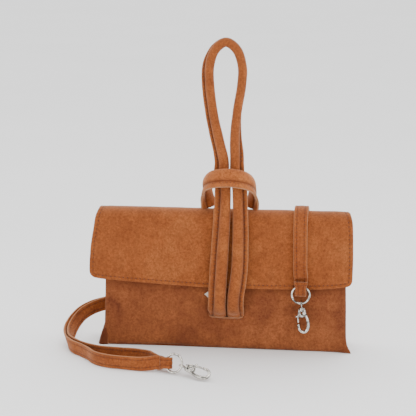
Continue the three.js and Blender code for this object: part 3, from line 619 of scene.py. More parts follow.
def flap_grid(offset, trim, soft):
    """The flap's skin at a distance from its inner face, pulled in from its edges by trim."""
    rises, angles = flap_levels()
    columns = flap_columns(trim)
    grid, edge_distance = [], []
    for kind, value in [("rise", r) for r in rises] + [("angle", a) for a in angles]:
        row, distances = [], []
        for share in columns:
            if kind == "rise":
                rough_z = mix(FLAP_LOW_Z, PANEL_TOP, value / FRONT_RISE)
                inside = FLAP_CORNER**2 - max(FLAP_CORNER - value, 0) ** 2
                inset = FLAP_CORNER - math.sqrt(max(inside, 0))
            else:
                rough_z, inset = arch_point(offset, value)[1], 0
            if kind == "angle" and value > 90:
                rough_z = 151
            left = through(FLAP_LEFT, rough_z) + trim + inset
            right = through(FLAP_RIGHT, rough_z) - trim - inset
            x = mix(left, right, share)
            if kind == "rise":
                low = through(FLAP_LOWER, x) + trim
                z = mix(low, PANEL_TOP, value / FRONT_RISE)
                y = -(panel_out(z) + FLAP_CLEARANCE + offset)
                normal = Vector((0, -1, 0.05))
                from_low = z - low
            else:
                y, z = arch_point(offset, value)
                turn = math.radians(value)
                normal = Vector((0, -math.cos(turn), math.sin(turn)))
                from_low = 80
            edge = min(x - left + inset, right + inset - x, from_low)
            lift = 0.0
            if soft:
                lift += 0.3 * smooth(3.9, 13, edge) - 0.3 * math.exp(-(((edge - STITCH_INSET) / 0.9) ** 2))
                lift += waves(x, z + y, 46, 0.5, 3.1) * smooth(4, 30, edge)
                lift += waves(x, z + y, 17, 0.2, 7.7) * smooth(4, 18, edge)
                lift *= 1 - 0.8 * math.exp(-(((x - STRAP_X) / 14) ** 4))
                lift -= 0.45 * math.exp(-((edge / 0.6) ** 2))
            row.append(tuple(Vector((x, y, z)) + normal.normalized() * lift))
            distances.append(edge)
        grid.append(row)
        edge_distance.append(distances)
    return grid, edge_distance


def build_flap():
    outer, edges = flap_grid(FLAP_THICKNESS, 0, True)
    inner, _ = flap_grid(FLAP_REST, 0, False)

    # painted shade along the stitch groove, inset from the flap's edge
    def painted_shade(i, j):
        near = edges[i][j]
        return 0.3 * math.exp(-(((near - STITCH_INSET) / 0.7) ** 2))

    flap = grid_shell("flap_suede", outer, inner, [SUEDE_FLAP], painted_shade)
    put(flap, "flap", "suede", "flap_outer")

    lining_out, _ = flap_grid(0.62, 1.0, False)
    lining_in, _ = flap_grid(0.02, 1.0, False)
    cloth = grid_shell("flap_lining_cloth", lining_out, lining_in, [LINING])
    put(cloth, "flap", "lining", "flap_lining")

    # stitches run down the left side, along the lower edge and up the right side
    rows = len(outer)
    side_lines = {"left": [], "right": []}
    for side in side_lines:
        for i in range(rows):
            row, near = outer[i], edges[i]
            order = range(len(row)) if side == "left" else range(len(row) - 1, -1, -1)
            for j in order:
                if near[j] >= STITCH_INSET - 0.05:
                    side_lines[side].append(Vector(row[j]))
                    break
    lower = []
    for j in range(len(outer[0])):
        for i in range(rows):
            if edges[i][j] >= STITCH_INSET - 0.05:
                lower.append(Vector(outer[i][j]))
                break
    low_row = [p for p in lower if abs(p.x + 1) < 131]
    left = [p for p in side_lines["left"] if p.z > low_row[0].z + 1.5][::-1]
    right = [p for p in side_lines["right"] if p.z > low_row[-1].z + 1.5]
    line = even([*left, *low_row, *right], 4.5)
    marks = []
    for k in range(1, len(line) - 1):
        along = line[k + 1] - line[k - 1]
        z = line[k].z
        out = Vector((0, -1, 0.05)) if z < PANEL_TOP + 2 else Vector((0, -1, 1.2))
        if line[k].y > -6:
            out = Vector((0, 0.2, 1))
        marks.append((line[k] + out.normalized() * 0.1, along, out))
    put(stitch_row("flap_stitches", marks, 2.4, 1.0), "flap", "suede")


def even(points, pitch):
    """The line resampled at an even pitch."""
    result, need = [points[0]], pitch
    for a, b in zip(points, points[1:]):
        span = (b - a).length
        while span >= need:
            a = a.lerp(b, need / span)
            result.append(a.copy())
            span = (b - a).length
            need = pitch
        need -= span
    return result


# ------------------------------------------------------------------ bag body
SLIT = (-13.6, 22.0, 35.4, 44.4)  # left, right, bottom, top
BODY_LEFT = ((0, -128.4), (22, -127), (50, -125.9), (75, -125.3), (136, -126))
BODY_RIGHT = ((0, 138), (4, 136), (9, 133.2), (17, 131.6), (50, 130.6), (75, 129.8), (136, 128.5))
BODY_LOWER = ((-130, 0.3), (-105, 0.9), (-62, 2.7), (-14, 1.6), (40, 1.1), (138, 0.3))


def panel_grid(side, shrink, slit):
    """A panel's skin: side is -1 in front and 1 behind, and shrink moves it inwards."""
    xs = [-127 + 254 * k / 92 for k in range(93)]
    top = PANEL_TOP if side < 0 else PANEL_TOP + 2.8  # the back panel reaches up to the flap's edge
    zs = [2 + (top - 2) * k / 56 for k in range(57)]
    if slit:
        for edge in SLIT[:2]:
            xs[min(range(len(xs)), key=lambda k: abs(xs[k] - edge))] = edge
        for edge in SLIT[2:]:
            zs[min(range(len(zs)), key=lambda k: abs(zs[k] - edge))] = edge
    grid = []
    for z in zs:
        row = []
        for x in xs:
            reach = smooth(70, 127, abs(x))
            edge = through(BODY_LEFT if x < 0 else BODY_RIGHT, z if side < 0 else 75)
            px = x + (edge - math.copysign(127, x)) * reach
            low = through(BODY_LOWER, px)
            pz = z + (low - 2) * (1 - smooth(2, 40, z))
            y = panel_out(pz) - shrink
            broad = smooth(0, 22, pz) * (1 - smooth(116, PANEL_TOP, pz))
            small = smooth(0, 12, pz) * (1 - smooth(124, PANEL_TOP, pz))
            bow = waves(px, pz, 60, 0.9, 1.7 + side) * broad + waves(px, pz, 21, 0.35, 5.2 + side) * small
            bow *= 1 - smooth(96, 124, abs(px))
            edge_gap = min(abs(px - edge), pz - low)
            y += bow - 0.7 * math.exp(-((edge_gap / 2.2) ** 2))
            if px > 110 and side < 0:  # the lower right corner stands forward as an ear
                y += 2.2 * smooth(118, 136, px) * (1 - smooth(0, 20, pz))
            row.append((px, side * y, pz))
        grid.append(row)
    return grid, xs, zs


def build_panels():
    for side, name, node in ((-1, "front_suede", "front_panel"), (1, "back_suede", "back_panel")):
        outer, xs, zs = panel_grid(side, 0, side < 0)
        inner, _, _ = panel_grid(side, SUEDE, side < 0)

        def skip(i, j):
            x, z = (xs[j] + xs[j + 1]) / 2, (zs[i] + zs[i + 1]) / 2
            return side < 0 and SLIT[0] < x < SLIT[1] and SLIT[2] < z < SLIT[3]

        # painted shade: a darker strip at the foot of both panels, and a painted shadow under the flap across
        # the front panel
        def painted_shade(i, j):
            x, _, z = outer[i][j]
            low = math.exp(-((z / 5.0) ** 2)) * 0.25
            painted_flap_shadow = 0.5 * smooth(52, 72, z) * (0.75 + waves(x, z, 40, 0.5, 2.9)) if side < 0 else 0
            return min(low + painted_flap_shadow, 0.8)

        panel = grid_shell(name, outer, inner, [SUEDE_BODY_PAINTED_SHADE], painted_shade, skip)
        put(panel, "bag", "suede", node)

    left, right, bottom, top = SLIT
    y = -(panel_out(40) + 0.15)
    corner = 3.2
    lip = [(left + corner, bottom), (4.2, bottom - 0.5), (right - corner, bottom)]
    lip += [(right - 0.8, bottom + 1.2), (right, bottom + corner), (right, top - 1)]
    lip += [(4.2, top), (left, top - 1), (left, bottom + corner)]
    lip += [(left + 0.8, bottom + 1.2), (left + corner, bottom)]
    route = Route([((x, y, z), (0, -1, 0)) for x, z in lip])

    def section(distance):
        pale = 0.6 * (1 - smooth(0.5, 3, route.at(distance)[0].z - bottom))
        return [
            (0.7 * math.cos(t), 0.9 * math.sin(t), 0.0, pale * max(0, math.cos(t)))
            for t in (2 * math.pi * k / 10 for k in range(10))
        ]

    put(swept("slit_lip", route, 1.2, section, [SUEDE_BODY_PAINTED_SHADE]), "bag", "suede")
    marks = []
    for k in range(9):
        x = mix(left + 2.5, right - 2.5, k / 8)
        marks.append(((x, -(panel_out(33) + 0.1), bottom - 2.3), (1, 0, 0), (0, -1, 0)))
    put(stitch_row("slit_stitches", marks, 2.6, 0.6), "bag", "suede")

    # a small pale triangle shows beside the left leg
    face = -(panel_out(63) + 1.4)
    corner = [(-18.8, face, 60.6), (-15, face, 63.6), (-14.6, face, 56.6)]
    points = corner + [(x, y + 0.3, z) for x, y, z in corner]
    faces = [(0, 1, 2), (5, 4, 3), (0, 3, 4, 1), (1, 4, 5, 2), (2, 5, 3, 0)]
    put(make_mesh("pale_corner", points, faces, [PALE_CORNER_WEAVE], flat=True), "bag", "lining")

    marks = []
    for k in range(56):
        x = -123 + 4.48 * k
        marks.append(((x, panel_out(130) + 0.15, 130), (1, 0, 0), (0, 1, 0)))
    put(stitch_row("back_stitches", marks, 2.7, 0.7), "bag", "suede")


def build_gussets():
    """Each side wall bellies outwards, most at its foot, and its front foot stands out as an ear."""
    for side, name, node, reach, height in (
        (-1, "gusset_suede_left", "gusset_left", 10.5, 39),
        (1, "gusset_suede_right", "gusset_right", 6.0, 18),
    ):
        outer, inner = [], []
        for i in range(46):
            z = 0.4 + 133.4 * (i / 45) ** 1.25
            foot = max(0.0, 1 - z / height) ** 0.85 * reach
            row, back_row = [], []
            for j in range(25):
                t = j / 24
                y = -(panel_out(z) - 0.9) * math.cos(math.pi * t)
                belly = math.sin(math.pi * t) ** 0.7
                ear = math.exp(-(((t - 0.16) / 0.16) ** 2)) * (1 - smooth(0, height * 0.8, z))
                tuck = -3.5 * smooth(60, 130, z) * math.sin(math.pi * t) ** 2
                if side > 0:
                    belly *= 1 - 0.85 * smooth(0.3, 0.8, t)
                ends = min(1, 6 * t * (1 - t)) * (1 - 0.9 * smooth(0.25, 0.7, t) * (side > 0))
                x = (126.6 if side > 0 else 124.4) - 1.0 + foot * (0.55 * belly + 0.45 * ends)
                x += tuck + ear * 2.2
                y -= ear * (3.4 if side < 0 else 1.0)
                x += waves(z, y, 22, 0.5, 9.3 * side) * belly
                point = Vector((side * x, y, z))
                row.append(tuple(point))
                back_row.append((side * (x - 1.5), y * 0.93, max(z, 0.4)))
            outer.append(row)
            inner.append(back_row)

        # painted shade: both side walls are painted darker, the left one more and most near its front edge,
        # for the shade they stand in
        def painted_shade(i, j):
            return 0.6 + 0.3 * math.exp(-(((j - 3) / 3) ** 2)) if side < 0 else 0.3

        put(grid_shell(name, outer, inner, [SUEDE_BODY_PAINTED_SHADE], painted_shade), "bag", "suede", node)


def rounded_slab(name, half_x, half_y, z0, z1, material, seed):
    """A sheet with rounded corners and edges, and a little unevenness."""
    radius = 6
    outline = []
    for cx, cy, start in ((1, 1, 0), (-1, 1, 90), (-1, -1, 180), (1, -1, 270)):
        for k in range(7):
            turn = math.radians(start + 15 * k)
            x = cx * (half_x - radius) + radius * math.cos(turn)
            y = cy * (half_y - radius) + radius * math.sin(turn)
            outline.append((x, y))
    rings = ((0.0, z0 + 0.25), (0.18, z0), (6, z0), (6, z0), (6, z1), (0.18, z1), (0.0, z1 - 0.25))
    points, faces = [], []
    for pull, z in rings:
        for x, y in outline:
            in_x, in_y = (v - math.copysign(min(pull, abs(v)), v) for v in (x, y))
            points.append((in_x, in_y, z + waves(x, y, 30, 0.05, seed)))
    around = len(outline)
    order = [2, 1, 0, 6, 5, 4]
    for a, b in zip(order, order[1:]):
        for k in range(around):
            n = (k + 1) % around
            faces.append((a * around + k, a * around + n, b * around + n, b * around + k))
    faces.append(tuple(2 * around + k for k in range(around)))
    faces.append(tuple(4 * around + k for k in reversed(range(around))))
    obj = make_mesh(name, points, faces, [material])
    weld(obj)
    return obj


def build_base():
    base = rounded_slab("base_suede", 124, 15.6, 0.05, 1.6, SUEDE_BODY_PAINTED_SHADE, 2.2)
    put(base, "bag", "suede", "base_panel")


def build_lining():
    """The lining bag: both walls and the bottom in one sheet, with slack folds."""
    half = LINING_HALF
    path = []
    for k in range(30):
        path.append((-half, LINING_TOP - (LINING_TOP - LINING_BOTTOM - 3) * k / 29))
    for k in range(1, 6):
        turn = math.radians(18 * k)
        path.append((-half + 3 - 3 * math.cos(turn), LINING_BOTTOM + 3 - 3 * math.sin(turn)))
    for k in range(1, 6):
        path.append((-half + 3 + (2 * half - 6) * k / 6, LINING_BOTTOM))
    for k in range(6):
        turn = math.radians(18 * k)
        path.append((half - 3 + 3 * math.sin(turn), LINING_BOTTOM + 3 - 3 * math.cos(turn)))
    for k in range(1, 40):
        path.append((half, LINING_BOTTOM + 3 + (LINING_TOP - LINING_BOTTOM - 3) * k / 39))
    window = (ZIP_Z - 4.6, ZIP_Z + 4.6)
    for k, (y, z) in enumerate(path):
        edge = min(window, key=lambda w: abs(w - z))
        if y >= half - 0.01 and abs(edge - z) < 1.6:
            path[k] = (y, edge)
    xs = [-LINING_HALF_X + 2 * LINING_HALF_X * k / 104 for k in range(105)]
    window_x = 79
    for edge in (-window_x, window_x):
        xs[min(range(len(xs)), key=lambda k: abs(xs[k] - edge))] = edge
    outer, inner = [], []
    for y, z in path:
        row, back = [], []
        for x in xs:
            calm = smooth(0, 14, min(abs(z - ZIP_Z), abs(z - LINING_TOP))) * smooth(LINING_BOTTOM, 20, z)
            sag = (waves(x, z, 19, 0.8, 4.4 if y < 0 else 6.6) + 0.4) * calm
            inwards = -math.copysign(1, y) if abs(y) > half - 0.01 else 0
            row.append((x, y + inwards * max(sag, 0), z))
            back.append((x, y + inwards * (max(sag, 0) + 0.55), z + (0.55 if not inwards else 0)))
        outer.append(row)
        inner.append(back)

    def skip(i, j):
        y, z = path[i]
        middle = (z + path[i + 1][1]) / 2
        x = (xs[j] + xs[j + 1]) / 2
        return y > half - 0.01 and window[0] < middle < window[1] and abs(x) < window_x

    put(grid_shell("lining_cloth", outer, inner, [LINING], None, skip), "bag", "lining", "lining")


# ------------------------------------------------------------------ wrist loop
LEG_LEFT = (
    (-2.6, -16.4, 36.6), (-2.4, -19.6, 40.4), (-2.2, -24.6, 46.4), (-1.7, -28.0, 53.6), (-1.2, -29.9, 64.1),
    (0.2, -29.5, 91), (1.9, -25.6, 125), (3.2, -22.9, 151), (3.5, -21, 177), (1.5, -18.9, 193),
)
LEG_RIGHT = (
    (12.6, -16.4, 36.6), (12.6, -19.6, 40.4), (12.4, -24.6, 46.4), (12.4, -28.0, 53.6), (13.2, -29.9, 64.1),
    (16.6, -29.5, 91), (17.2, -25.6, 125), (16.8, -22.9, 151), (15.6, -21, 177), (13.1, -18.9, 193),
)
LOOP = (
    (1.3, -18.9, 205, -1, 0.1, 0), (-3.6, -18.5, 226.5, -1, 0.2, -0.15), (-9.2, -18.5, 252.5, -1, 0.2, -0.15),
    (-13.2, -18.5, 283.5, -1, 0.2, 0), (-13.2, -18.5, 303.5, -0.9, 0.5, 0.25),
    (-7.6, -18.5, 319.5, -0.5, 0.9, 0.5),
    (3.2, -18.5, 327, 0, 1, 0.4), (14.0, -18.5, 319.5, 0.3, 1, 0.3), (19.8, -18.5, 302.5, 0.4, 1, 0),
    (19.2, -18.5, 283.5, 0.4, 1, 0), (14.9, -18.5, 256.5, 0.4, 1, 0), (12.6, -18.5, 230.5, 0.7, 0.7, 0),
    (13.1, -18.9, 205, 1, 0.1, 0),
)


def roll_section(radius, flat, reach, pinch, thick=2.4):
    """A filled tube with a two-layer flange: (across, out, painted shade, cut)."""
    half = thick / 2
    start = math.asin(min(half / radius, 0.9))
    points = []
    arcs = 24
    for k in range(arcs + 1):
        turn = mix(start, 2 * math.pi - start, k / arcs)
        near = min(turn - start, 2 * math.pi - start - turn)
        # painted shade along the seam where the flange leaves the roll
        seam = 0.75 * math.exp(-((near / 0.22) ** 2))
        points.append((radius * math.cos(turn), radius * math.sin(turn) * flat, seam, 0))
    end = radius + reach
    # the third value of each layer is painted shade: by the roll and in the fold between the layers
    layers = (
        (radius + 0.25, -half * pinch, 0.95, 0),
        (radius + 1.0, -half * 0.95, 0.35, 0),
        (radius + reach * 0.6, -half, 0.08, 0),
        (end - 0.35, -half * 0.96, 0, 0.15),
        (end, -half * 0.7, 0, 1),
        (end - 0.12, -0.12, 0.3, 0.9),
        (end - 0.45, 0, 0.9, 0.3),
    )
    for a, b, c, d in folded(layers):
        points.append((a, b * min(1.0, flat * 1.6), c, d))
    return points


def build_wrist_loop():
    stops = [(p, (-1, 0, 0)) for p in LEG_LEFT]
    stops += [(p[:3], p[3:]) for p in LOOP]
    stops += [(p, (1, 0, 0)) for p in reversed(LEG_RIGHT)]
    route = Route(stops)
    total = route.length
    leg = 160.0

    def radius_at(distance):
        rise = min(distance, total - distance)
        radius = mix(6.3, 5.4, (rise - 70) / 70)
        return mix(radius, 4.7, (rise - 165) / 60)

    def reach_at(distance):
        left = distance < total / 2
        rise = min(distance, total - distance)
        low = 6.0 if left else 4.6
        return mix(mix(3.8, low, smooth(4, 14, rise)), 3.6, smooth(leg - 20, leg + 30, rise))

    def section(distance):
        rise = min(distance, total - distance)
        flat = mix(0.42, 1, smooth(3, 20, rise))
        wide = 1 + 0.1 * (1 - smooth(3, 20, rise))
        radius = radius_at(distance) * (1 + 0.02 * ripple(distance, 9, 2.5)) * wide
        return roll_section(radius, flat / wide, reach_at(distance) + 0.35 * ripple(distance, 14, 8.1), 0.45)

    loop = swept("wrist_loop_suede", route, 2.0, section, [SUEDE_ROLL])
    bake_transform(loop)
    put(loop, None, "suede", "loop_leg_left", "loop_leg_right", "wrist_loop")

    marks = []
    for start, end in ((18, 168), (total - 168, total - 18)):
        for out, flip in ((1.22, False), (-1.22, True)):
            marks += row_marks(route, start, end, 3.9, lambda d: radius_at(d) + 1.3, out, flip)
    legs = stitch_row("leg_stitches", marks, 2.2, 0.85, 0.1)
    put(legs, "handle_legs", "suede")
    marks = []
    for out, flip in ((1.22, False), (-1.22, True)):
        marks += row_marks(route, 170, total - 170, 3.9, lambda d: radius_at(d) + 1.3, out, flip)
    upper = stitch_row("loop_stitches", marks, 2.2, 0.85, 0.1)
    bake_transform(upper)
    put(upper, None, "suede")


# ------------------------------------------------------------------ keeper
KEEPER_MIDDLE = 6.6
KEEPER_ARM = (
    ((-22.6, 1.5, 150.9), (-0.72, -0.69, 0)),
    ((-23.4, 1.2, 154), (-0.7, -0.7, -0.05)),
    ((-24.8, -0.6, 161), (-0.55, -0.8, -0.2)),
    ((-25.2, -8.5, 172), (-0.32, -0.74, -0.58)),
    ((-23.6, -21, 181.4), (-0.14, -0.62, -0.76)),
    ((-15.2, -31.2, 188), (-0.04, -0.5, -0.86)),
)


def build_keeper():
    arm = [((KEEPER_MIDDLE + p[0], p[1], p[2]), s) for p, s in KEEPER_ARM]
    other = [((KEEPER_MIDDLE - p[0], p[1], p[2]), (-s[0], s[1], s[2])) for p, s in reversed(KEEPER_ARM)]
    route = Route([*arm, ((KEEPER_MIDDLE, -35, 190.6), (0, -0.45, -0.89)), *other])

    def section(distance):
        puff = 1 + 0.03 * ripple(distance, 11, 4.2)
        points = []
        for k in range(19):
            turn = mix(math.radians(26), math.radians(334), k / 18)
            near = min(k, 18 - k)
            # painted shade along the seam where the flange leaves the roll
            seam = 0.6 * math.exp(-((near / 1.1) ** 2))
            points.append((-3.5 + 6.6 * math.cos(turn), 3.6 * math.sin(turn) * puff, seam, 0))
        end = 9.4 + 0.3 * ripple(distance, 8, 1.2)
        # the third value of each layer is painted shade: by the roll and in the gap between the layers
        layers = (
            (3.0, -0.95, 0.85, 0), (3.8, -1.3, 0.3, 0), (6.5, -1.45, 0.05, 0), (end - 0.4, -1.35, 0, 0.1),
            (end, -0.9, 0, 0.95), (end - 0.12, -0.12, 0.3, 0.8), (end - 0.4, 0, 0.8, 0.3),
        )
        return points + folded(layers)

    put(swept("keeper_suede", route, 1.6, section, [SUEDE_KEEPER_PAINTED_LIGHT]), "flap", "suede", "keeper")
    marks = []
    for out, flip in ((1.25, False), (-1.25, True)):
        marks += row_marks(route, 8, route.length - 8, 3.8, 4.6, out * 1.08, flip)
    put(stitch_row("keeper_stitches", marks, 2.1, 0.7, 0.12), "flap", "suede")


# ------------------------------------------------------------------ shoulder strap
RIGHT_RING = (Vector((STRAP_X, -26.8, 75)), Vector((0, 0, -1)), Vector((1, 0, 0)))
LEFT_RING = (Vector((-50.4, -91.9, 10)), Vector((0.937, -0.329, 0.119)), Vector((0, -0.34, -0.94)))
DOWN = (0, 0, -1)
BEHIND_BAG = (
    ((74, 19.4, 116), (0.8, 0, -0.6)), ((58, 20.2, 104), (0.55, 0, -0.83)), ((30, 21, 90), (0.45, 0, -0.89)),
    ((0, 21.7, 77), (0.4, 0, -0.92)), ((-40, 22.3, 61), (0.37, 0, -0.93)),
    ((-80, 22.7, 47), (0.32, 0, -0.95)), ((-110, 23.1, 38.5), (0.25, 0, -0.97)),
)
OUTER_BACK = (
    ((83, 17.6, 136.6), (1, 0, 0)), ((82.2, 18.3, 128), (0.97, 0, -0.25)), *BEHIND_BAG,
    ((-133, 23.5, 33), (0.22, 0.03, -0.97)), ((-147.5, 19.5, 29.5), (0.3, 0.1, -0.94)),
    ((-158.5, 9.5, 25), (0.42, 0.18, -0.88)), ((-165, -5, 19), (0.5, 0.2, -0.84)),
    ((-167, -22, 13.2), (0.45, 0.12, -0.88)), ((-163.5, -38, 9.3), (0.25, 0, -0.97)),
    ((-156, -49, 7.9), (0.06, 0, -1)), ((-146, -57, 7.5), DOWN), ((-136, -67, 7.5), DOWN),
    ((-127, -78, 7.5), DOWN), ((-114, -85.5, 7.5), DOWN), ((-96, -89.2, 7.5), (0, 0.03, -1)),
    ((-78, -91.2, 7.5), (0, -0.1, -1)), ((-68, -91.3, 8.3), (0, -0.25, -0.96)),
)
INNER_BACK = (
    ((83, 14.9, 136.2), (1, 0, 0)), ((82.2, 15.6, 127.8), (0.97, 0, -0.25)),
    *(((x, y - 2.5, z), side) for (x, y, z), side in BEHIND_BAG),
    ((-133, 20.9, 33), (0.22, 0.03, -0.97)), ((-145.2, 17, 29.5), (0.3, 0.1, -0.94)),
    ((-155.5, 7.6, 25), (0.42, 0.18, -0.88)), ((-161.4, -5, 19), (0.5, 0.2, -0.84)),
    ((-163.2, -21, 13.2), (0.45, 0.12, -0.88)), ((-160.2, -36, 9.3), (0.25, 0, -0.97)),
    ((-151.5, -46, 7.9), (0.06, 0, -1)), ((-140, -54.5, 7.5), DOWN), ((-124, -61.5, 7.5), DOWN),
    ((-104, -64.3, 7.5), DOWN), ((-84, -66.4, 7.5), DOWN), ((-70, -72.5, 7.8), (0, -0.15, -0.99)),
    ((-65.5, -79, 8.2), (0, -0.3, -0.95)),
)
HANGING_END = ((-3, -2.8), (4, -2.7), (8.6, -1.8), (10, 0.1), (8.6, 1.9), (4, 2.8), (-1, 2.8), (-5.5, 2.5))
LYING_END = (
    (-5.2, -3.1), (-2, -3.2), (2, -3.2), (5.2, -2.3), (6.4, 0), (5.2, 2.3), (2, 3.2), (-2, 3.1), (-6.2, 3),
)
SEAM_INSET = 3.3  # of the strap's stitch rows


def at_ring(ring, inward, out):
    fold, towards, along = ring
    return tuple(fold + towards * inward + towards.cross(along) * out), tuple(along)


def over_flap(clearance):
    """The strap's line over the flap, from its lower end to the hinge."""
    offset = FLAP_THICKNESS + clearance + STRAP_THICKNESS / 2
    stops = [(STRAP_X, -(panel_out(STRAP_END_Z) + FLAP_CLEARANCE + offset), STRAP_END_Z)]
    for share in (0.35, 0.53, 0.71, 0.87):
        z = mix(69, PANEL_TOP, share)
        stops.append((STRAP_X - 0.6 - share, -(panel_out(z) + FLAP_CLEARANCE + offset), z))
    for k in range(10):
        y, z = arch_point(offset, HINGE_ANGLE * k / 9)
        stops.append((STRAP_X - 1.6 * math.cos(math.radians(HINGE_ANGLE * k / 18)), y, z))
    return [(p, (1, 0, 0)) for p in stops]


def band_section(half, crown):
    """A flat strap: two layers sewn near both edges, with soft edges."""
    t = STRAP_THICKNESS / 2
    groove = half - SEAM_INSET
    # the third value is painted shade in the stitch groove
    near_half = (
        (half, 0.35 * t, 0, 0.75), (half - 0.25, 0.8 * t, 0, 0.35), (half - 0.9, t, 0, 0.05),
        (groove + 0.8, t, 0.05, 0), (groove, t - 0.3, 0.5, 0), (groove - 0.9, t + 0.02, 0.05, 0),
        (groove * 0.4, t + crown, 0, 0),
    )
    far_half = [(-a, b, c, d) for a, b, c, d in reversed(near_half)]
    face = [*near_half, (0, t + crown * 1.1, 0, 0), *far_half]
    return face + [(-a, -b, c, d) for a, b, c, d in face]


def strap_piece(name, stops, pinch_at, rows):
    """One length of strap, with its stitches. pinch_at is where it narrows inside a ring, if it does."""
    route = Route(stops)
    half = STRAP_WIDTH / 2

    def width(distance):
        if pinch_at is None:
            return half
        near = 1 - smooth(10, 16, abs(distance - pinch_at(route.length)))
        return mix(half, PINCHED_HALF, near)

    def section(distance):
        crown = 0.12 + 0.1 * ripple(distance, 12, 3.3)
        return band_section(width(distance) + 0.12 * ripple(distance, 7, 5.5), crown)

    piece = swept(name, route, 2.2, section, [SUEDE_STRAP])
    marks = []
    for sign in (-1, 1):
        for out, flip in rows:
            inset = lambda d: sign * (width(d) - SEAM_INSET)
            marks += row_marks(route, 3, route.length - 3, 4.0, inset, out, flip)
    stitches = stitch_row(name + "_stitches", marks, 2.1, 0.8, 0.12)
    return route, piece, stitches


def declare(route, piece, from_start, extra):
    """A cord's line, sampled from the end where it leaves the bag; the points are not kept."""
    count = max(8, int(route.length / 6))
    path = [tuple(route.at(route.length * k / count)[0] * MM) for k in range(count + 1)]
    if not from_start:
        path.reverse()
    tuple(path[0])


def build_strap(rings):
    rows = ((0.86, False), (-0.86, True))
    inner_line = over_flap(0.5)
    outer_line = over_flap(0.5 + STRAP_THICKNESS + 0.25)
    start_y = inner_line[0][0][1] + 0.1
    fold = [((STRAP_X, start_y, STRAP_END_Z - 0.4), (1, 0, 0))]
    fold += [at_ring(RIGHT_RING, a, b) for a, b in HANGING_END]

    outer = strap_piece("strap_outer_over", outer_line, None, rows)
    hanging = list(reversed(fold))[:-1] + inner_line
    inner = strap_piece("strap_inner_over", hanging, lambda total: 16.5, rows)
    join_outer, join_inner = outer_line[-1], inner_line[-1]

    lying = [at_ring(LEFT_RING, a, b) for a, b in LYING_END]
    outer_stops = [join_outer, *OUTER_BACK, at_ring(LEFT_RING, -9, -3.1), at_ring(LEFT_RING, -5.6, -3.1)]
    inner_stops = [join_inner, *INNER_BACK, at_ring(LEFT_RING, -10, 3.3), *reversed(lying)]
    outer_back = strap_piece("strap_outer_behind", outer_stops, None, rows)
    inner_back = strap_piece("strap_inner_behind", inner_stops, lambda total: total - 13.5, rows)

    for _, piece, stitches in (outer, inner):
        put(piece, "flap", "suede")
        put(stitches, "flap", "suede")
    for _, piece, stitches in (outer_back, inner_back):
        for part in (piece, stitches):
            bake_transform(part)
            put(part, None, "suede")
    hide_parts("strap_outer_front")
    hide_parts("strap_inner_front", "strap_right_fold")
    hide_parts("strap_outer_back")
    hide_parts("strap_inner_back", "strap_left_fold")

    declare(outer[0], outer[1], False, [outer[2]])
    declare(inner[0], inner[1], False, [inner[2], *rings["right"]])
    declare(outer_back[0], outer_back[1], True, [outer_back[2]])
    declare(inner_back[0], inner_back[1], True, [inner_back[2], *rings["left"]])

    # cross stitches hold the folded ends
    marks = []
    for k in range(4):
        marks.append((Vector((STRAP_X - 5.4 + 3.6 * k, -30.8, 77.4)), (1, 0, 0), (0, -1, 0)))
    put(stitch_row("strap_tab_stitches", marks, 2.5, 0.6, 0.1), "flap", "suede")
    fold_at, towards, along = LEFT_RING
    normal = towards.cross(along)
    start = fold_at + towards * -3.8 - normal * 4.35
    marks = [(start + along * (-5.2 + 3.4 * k), along, -normal) for k in range(4)]
    put(stitch_row("strap_end_stitches", marks, 2.4, 0.6, 0.1), "bag", "suede")


# ------------------------------------------------------------------ hardware
def local_frame(origin, across, back):
    back = back.normalized()
    side = (across - back * across.dot(back)).normalized()
    return origin, side, back.cross(side), back


def placed(frame_at, x, y, z):
    origin, side, cross, back = frame_at
    return origin + side * x + cross * y + back * z


def ring_mesh(name, centre, axis, radius, wire, around=72, tube=18):
    axis = axis.normalized()
    u = axis.orthogonal().normalized()
    v = axis.cross(u)
    points, faces = [], []
    for i in range(around):
        t = 2 * math.pi * i / around
        out = u * math.cos(t) + v * math.sin(t)
        for k in range(tube):
            s = 2 * math.pi * k / tube
            points.append(centre + out * (radius + wire * math.cos(s)) + axis * (wire * math.sin(s)))
    for i in range(around):
        for k in range(tube):
            a, b = i * tube + k, i * tube + (k + 1) % tube
            n = ((i + 1) % around) * tube
            faces.append((a, b, n + (k + 1) % tube, n + k))
    return make_mesh(name, points, faces, [NICKEL])


def turned(frame_at, profile, sides=28):
    """Points and faces of a turned piece about the hook's long axis: profile lists (radius, z)."""
    points = []
    for radius, z in profile:
        for k in range(sides):
            t = 2 * math.pi * k / sides
            points.append(placed(frame_at, radius * math.cos(t), radius * math.sin(t), z))
    return points, quads(len(profile), sides) + caps(len(profile), sides)


def joined(name, *parts):
    points, faces = [], []
    for part_points, part_faces in parts:
        start = len(points)
        points += part_points
        faces += [tuple(start + k for k in face) for face in part_faces]
    return make_mesh(name, points, faces, [NICKEL])


def torus_part(centre, axis, radius, wire, around=40, tube=12):
    obj = ring_mesh("part", centre, axis, radius, wire, around, tube)
    points = [v.co / MM for v in obj.data.vertices]
    faces = [tuple(p.vertices) for p in obj.data.polygons]
    bpy.data.objects.remove(obj)
    return points, faces


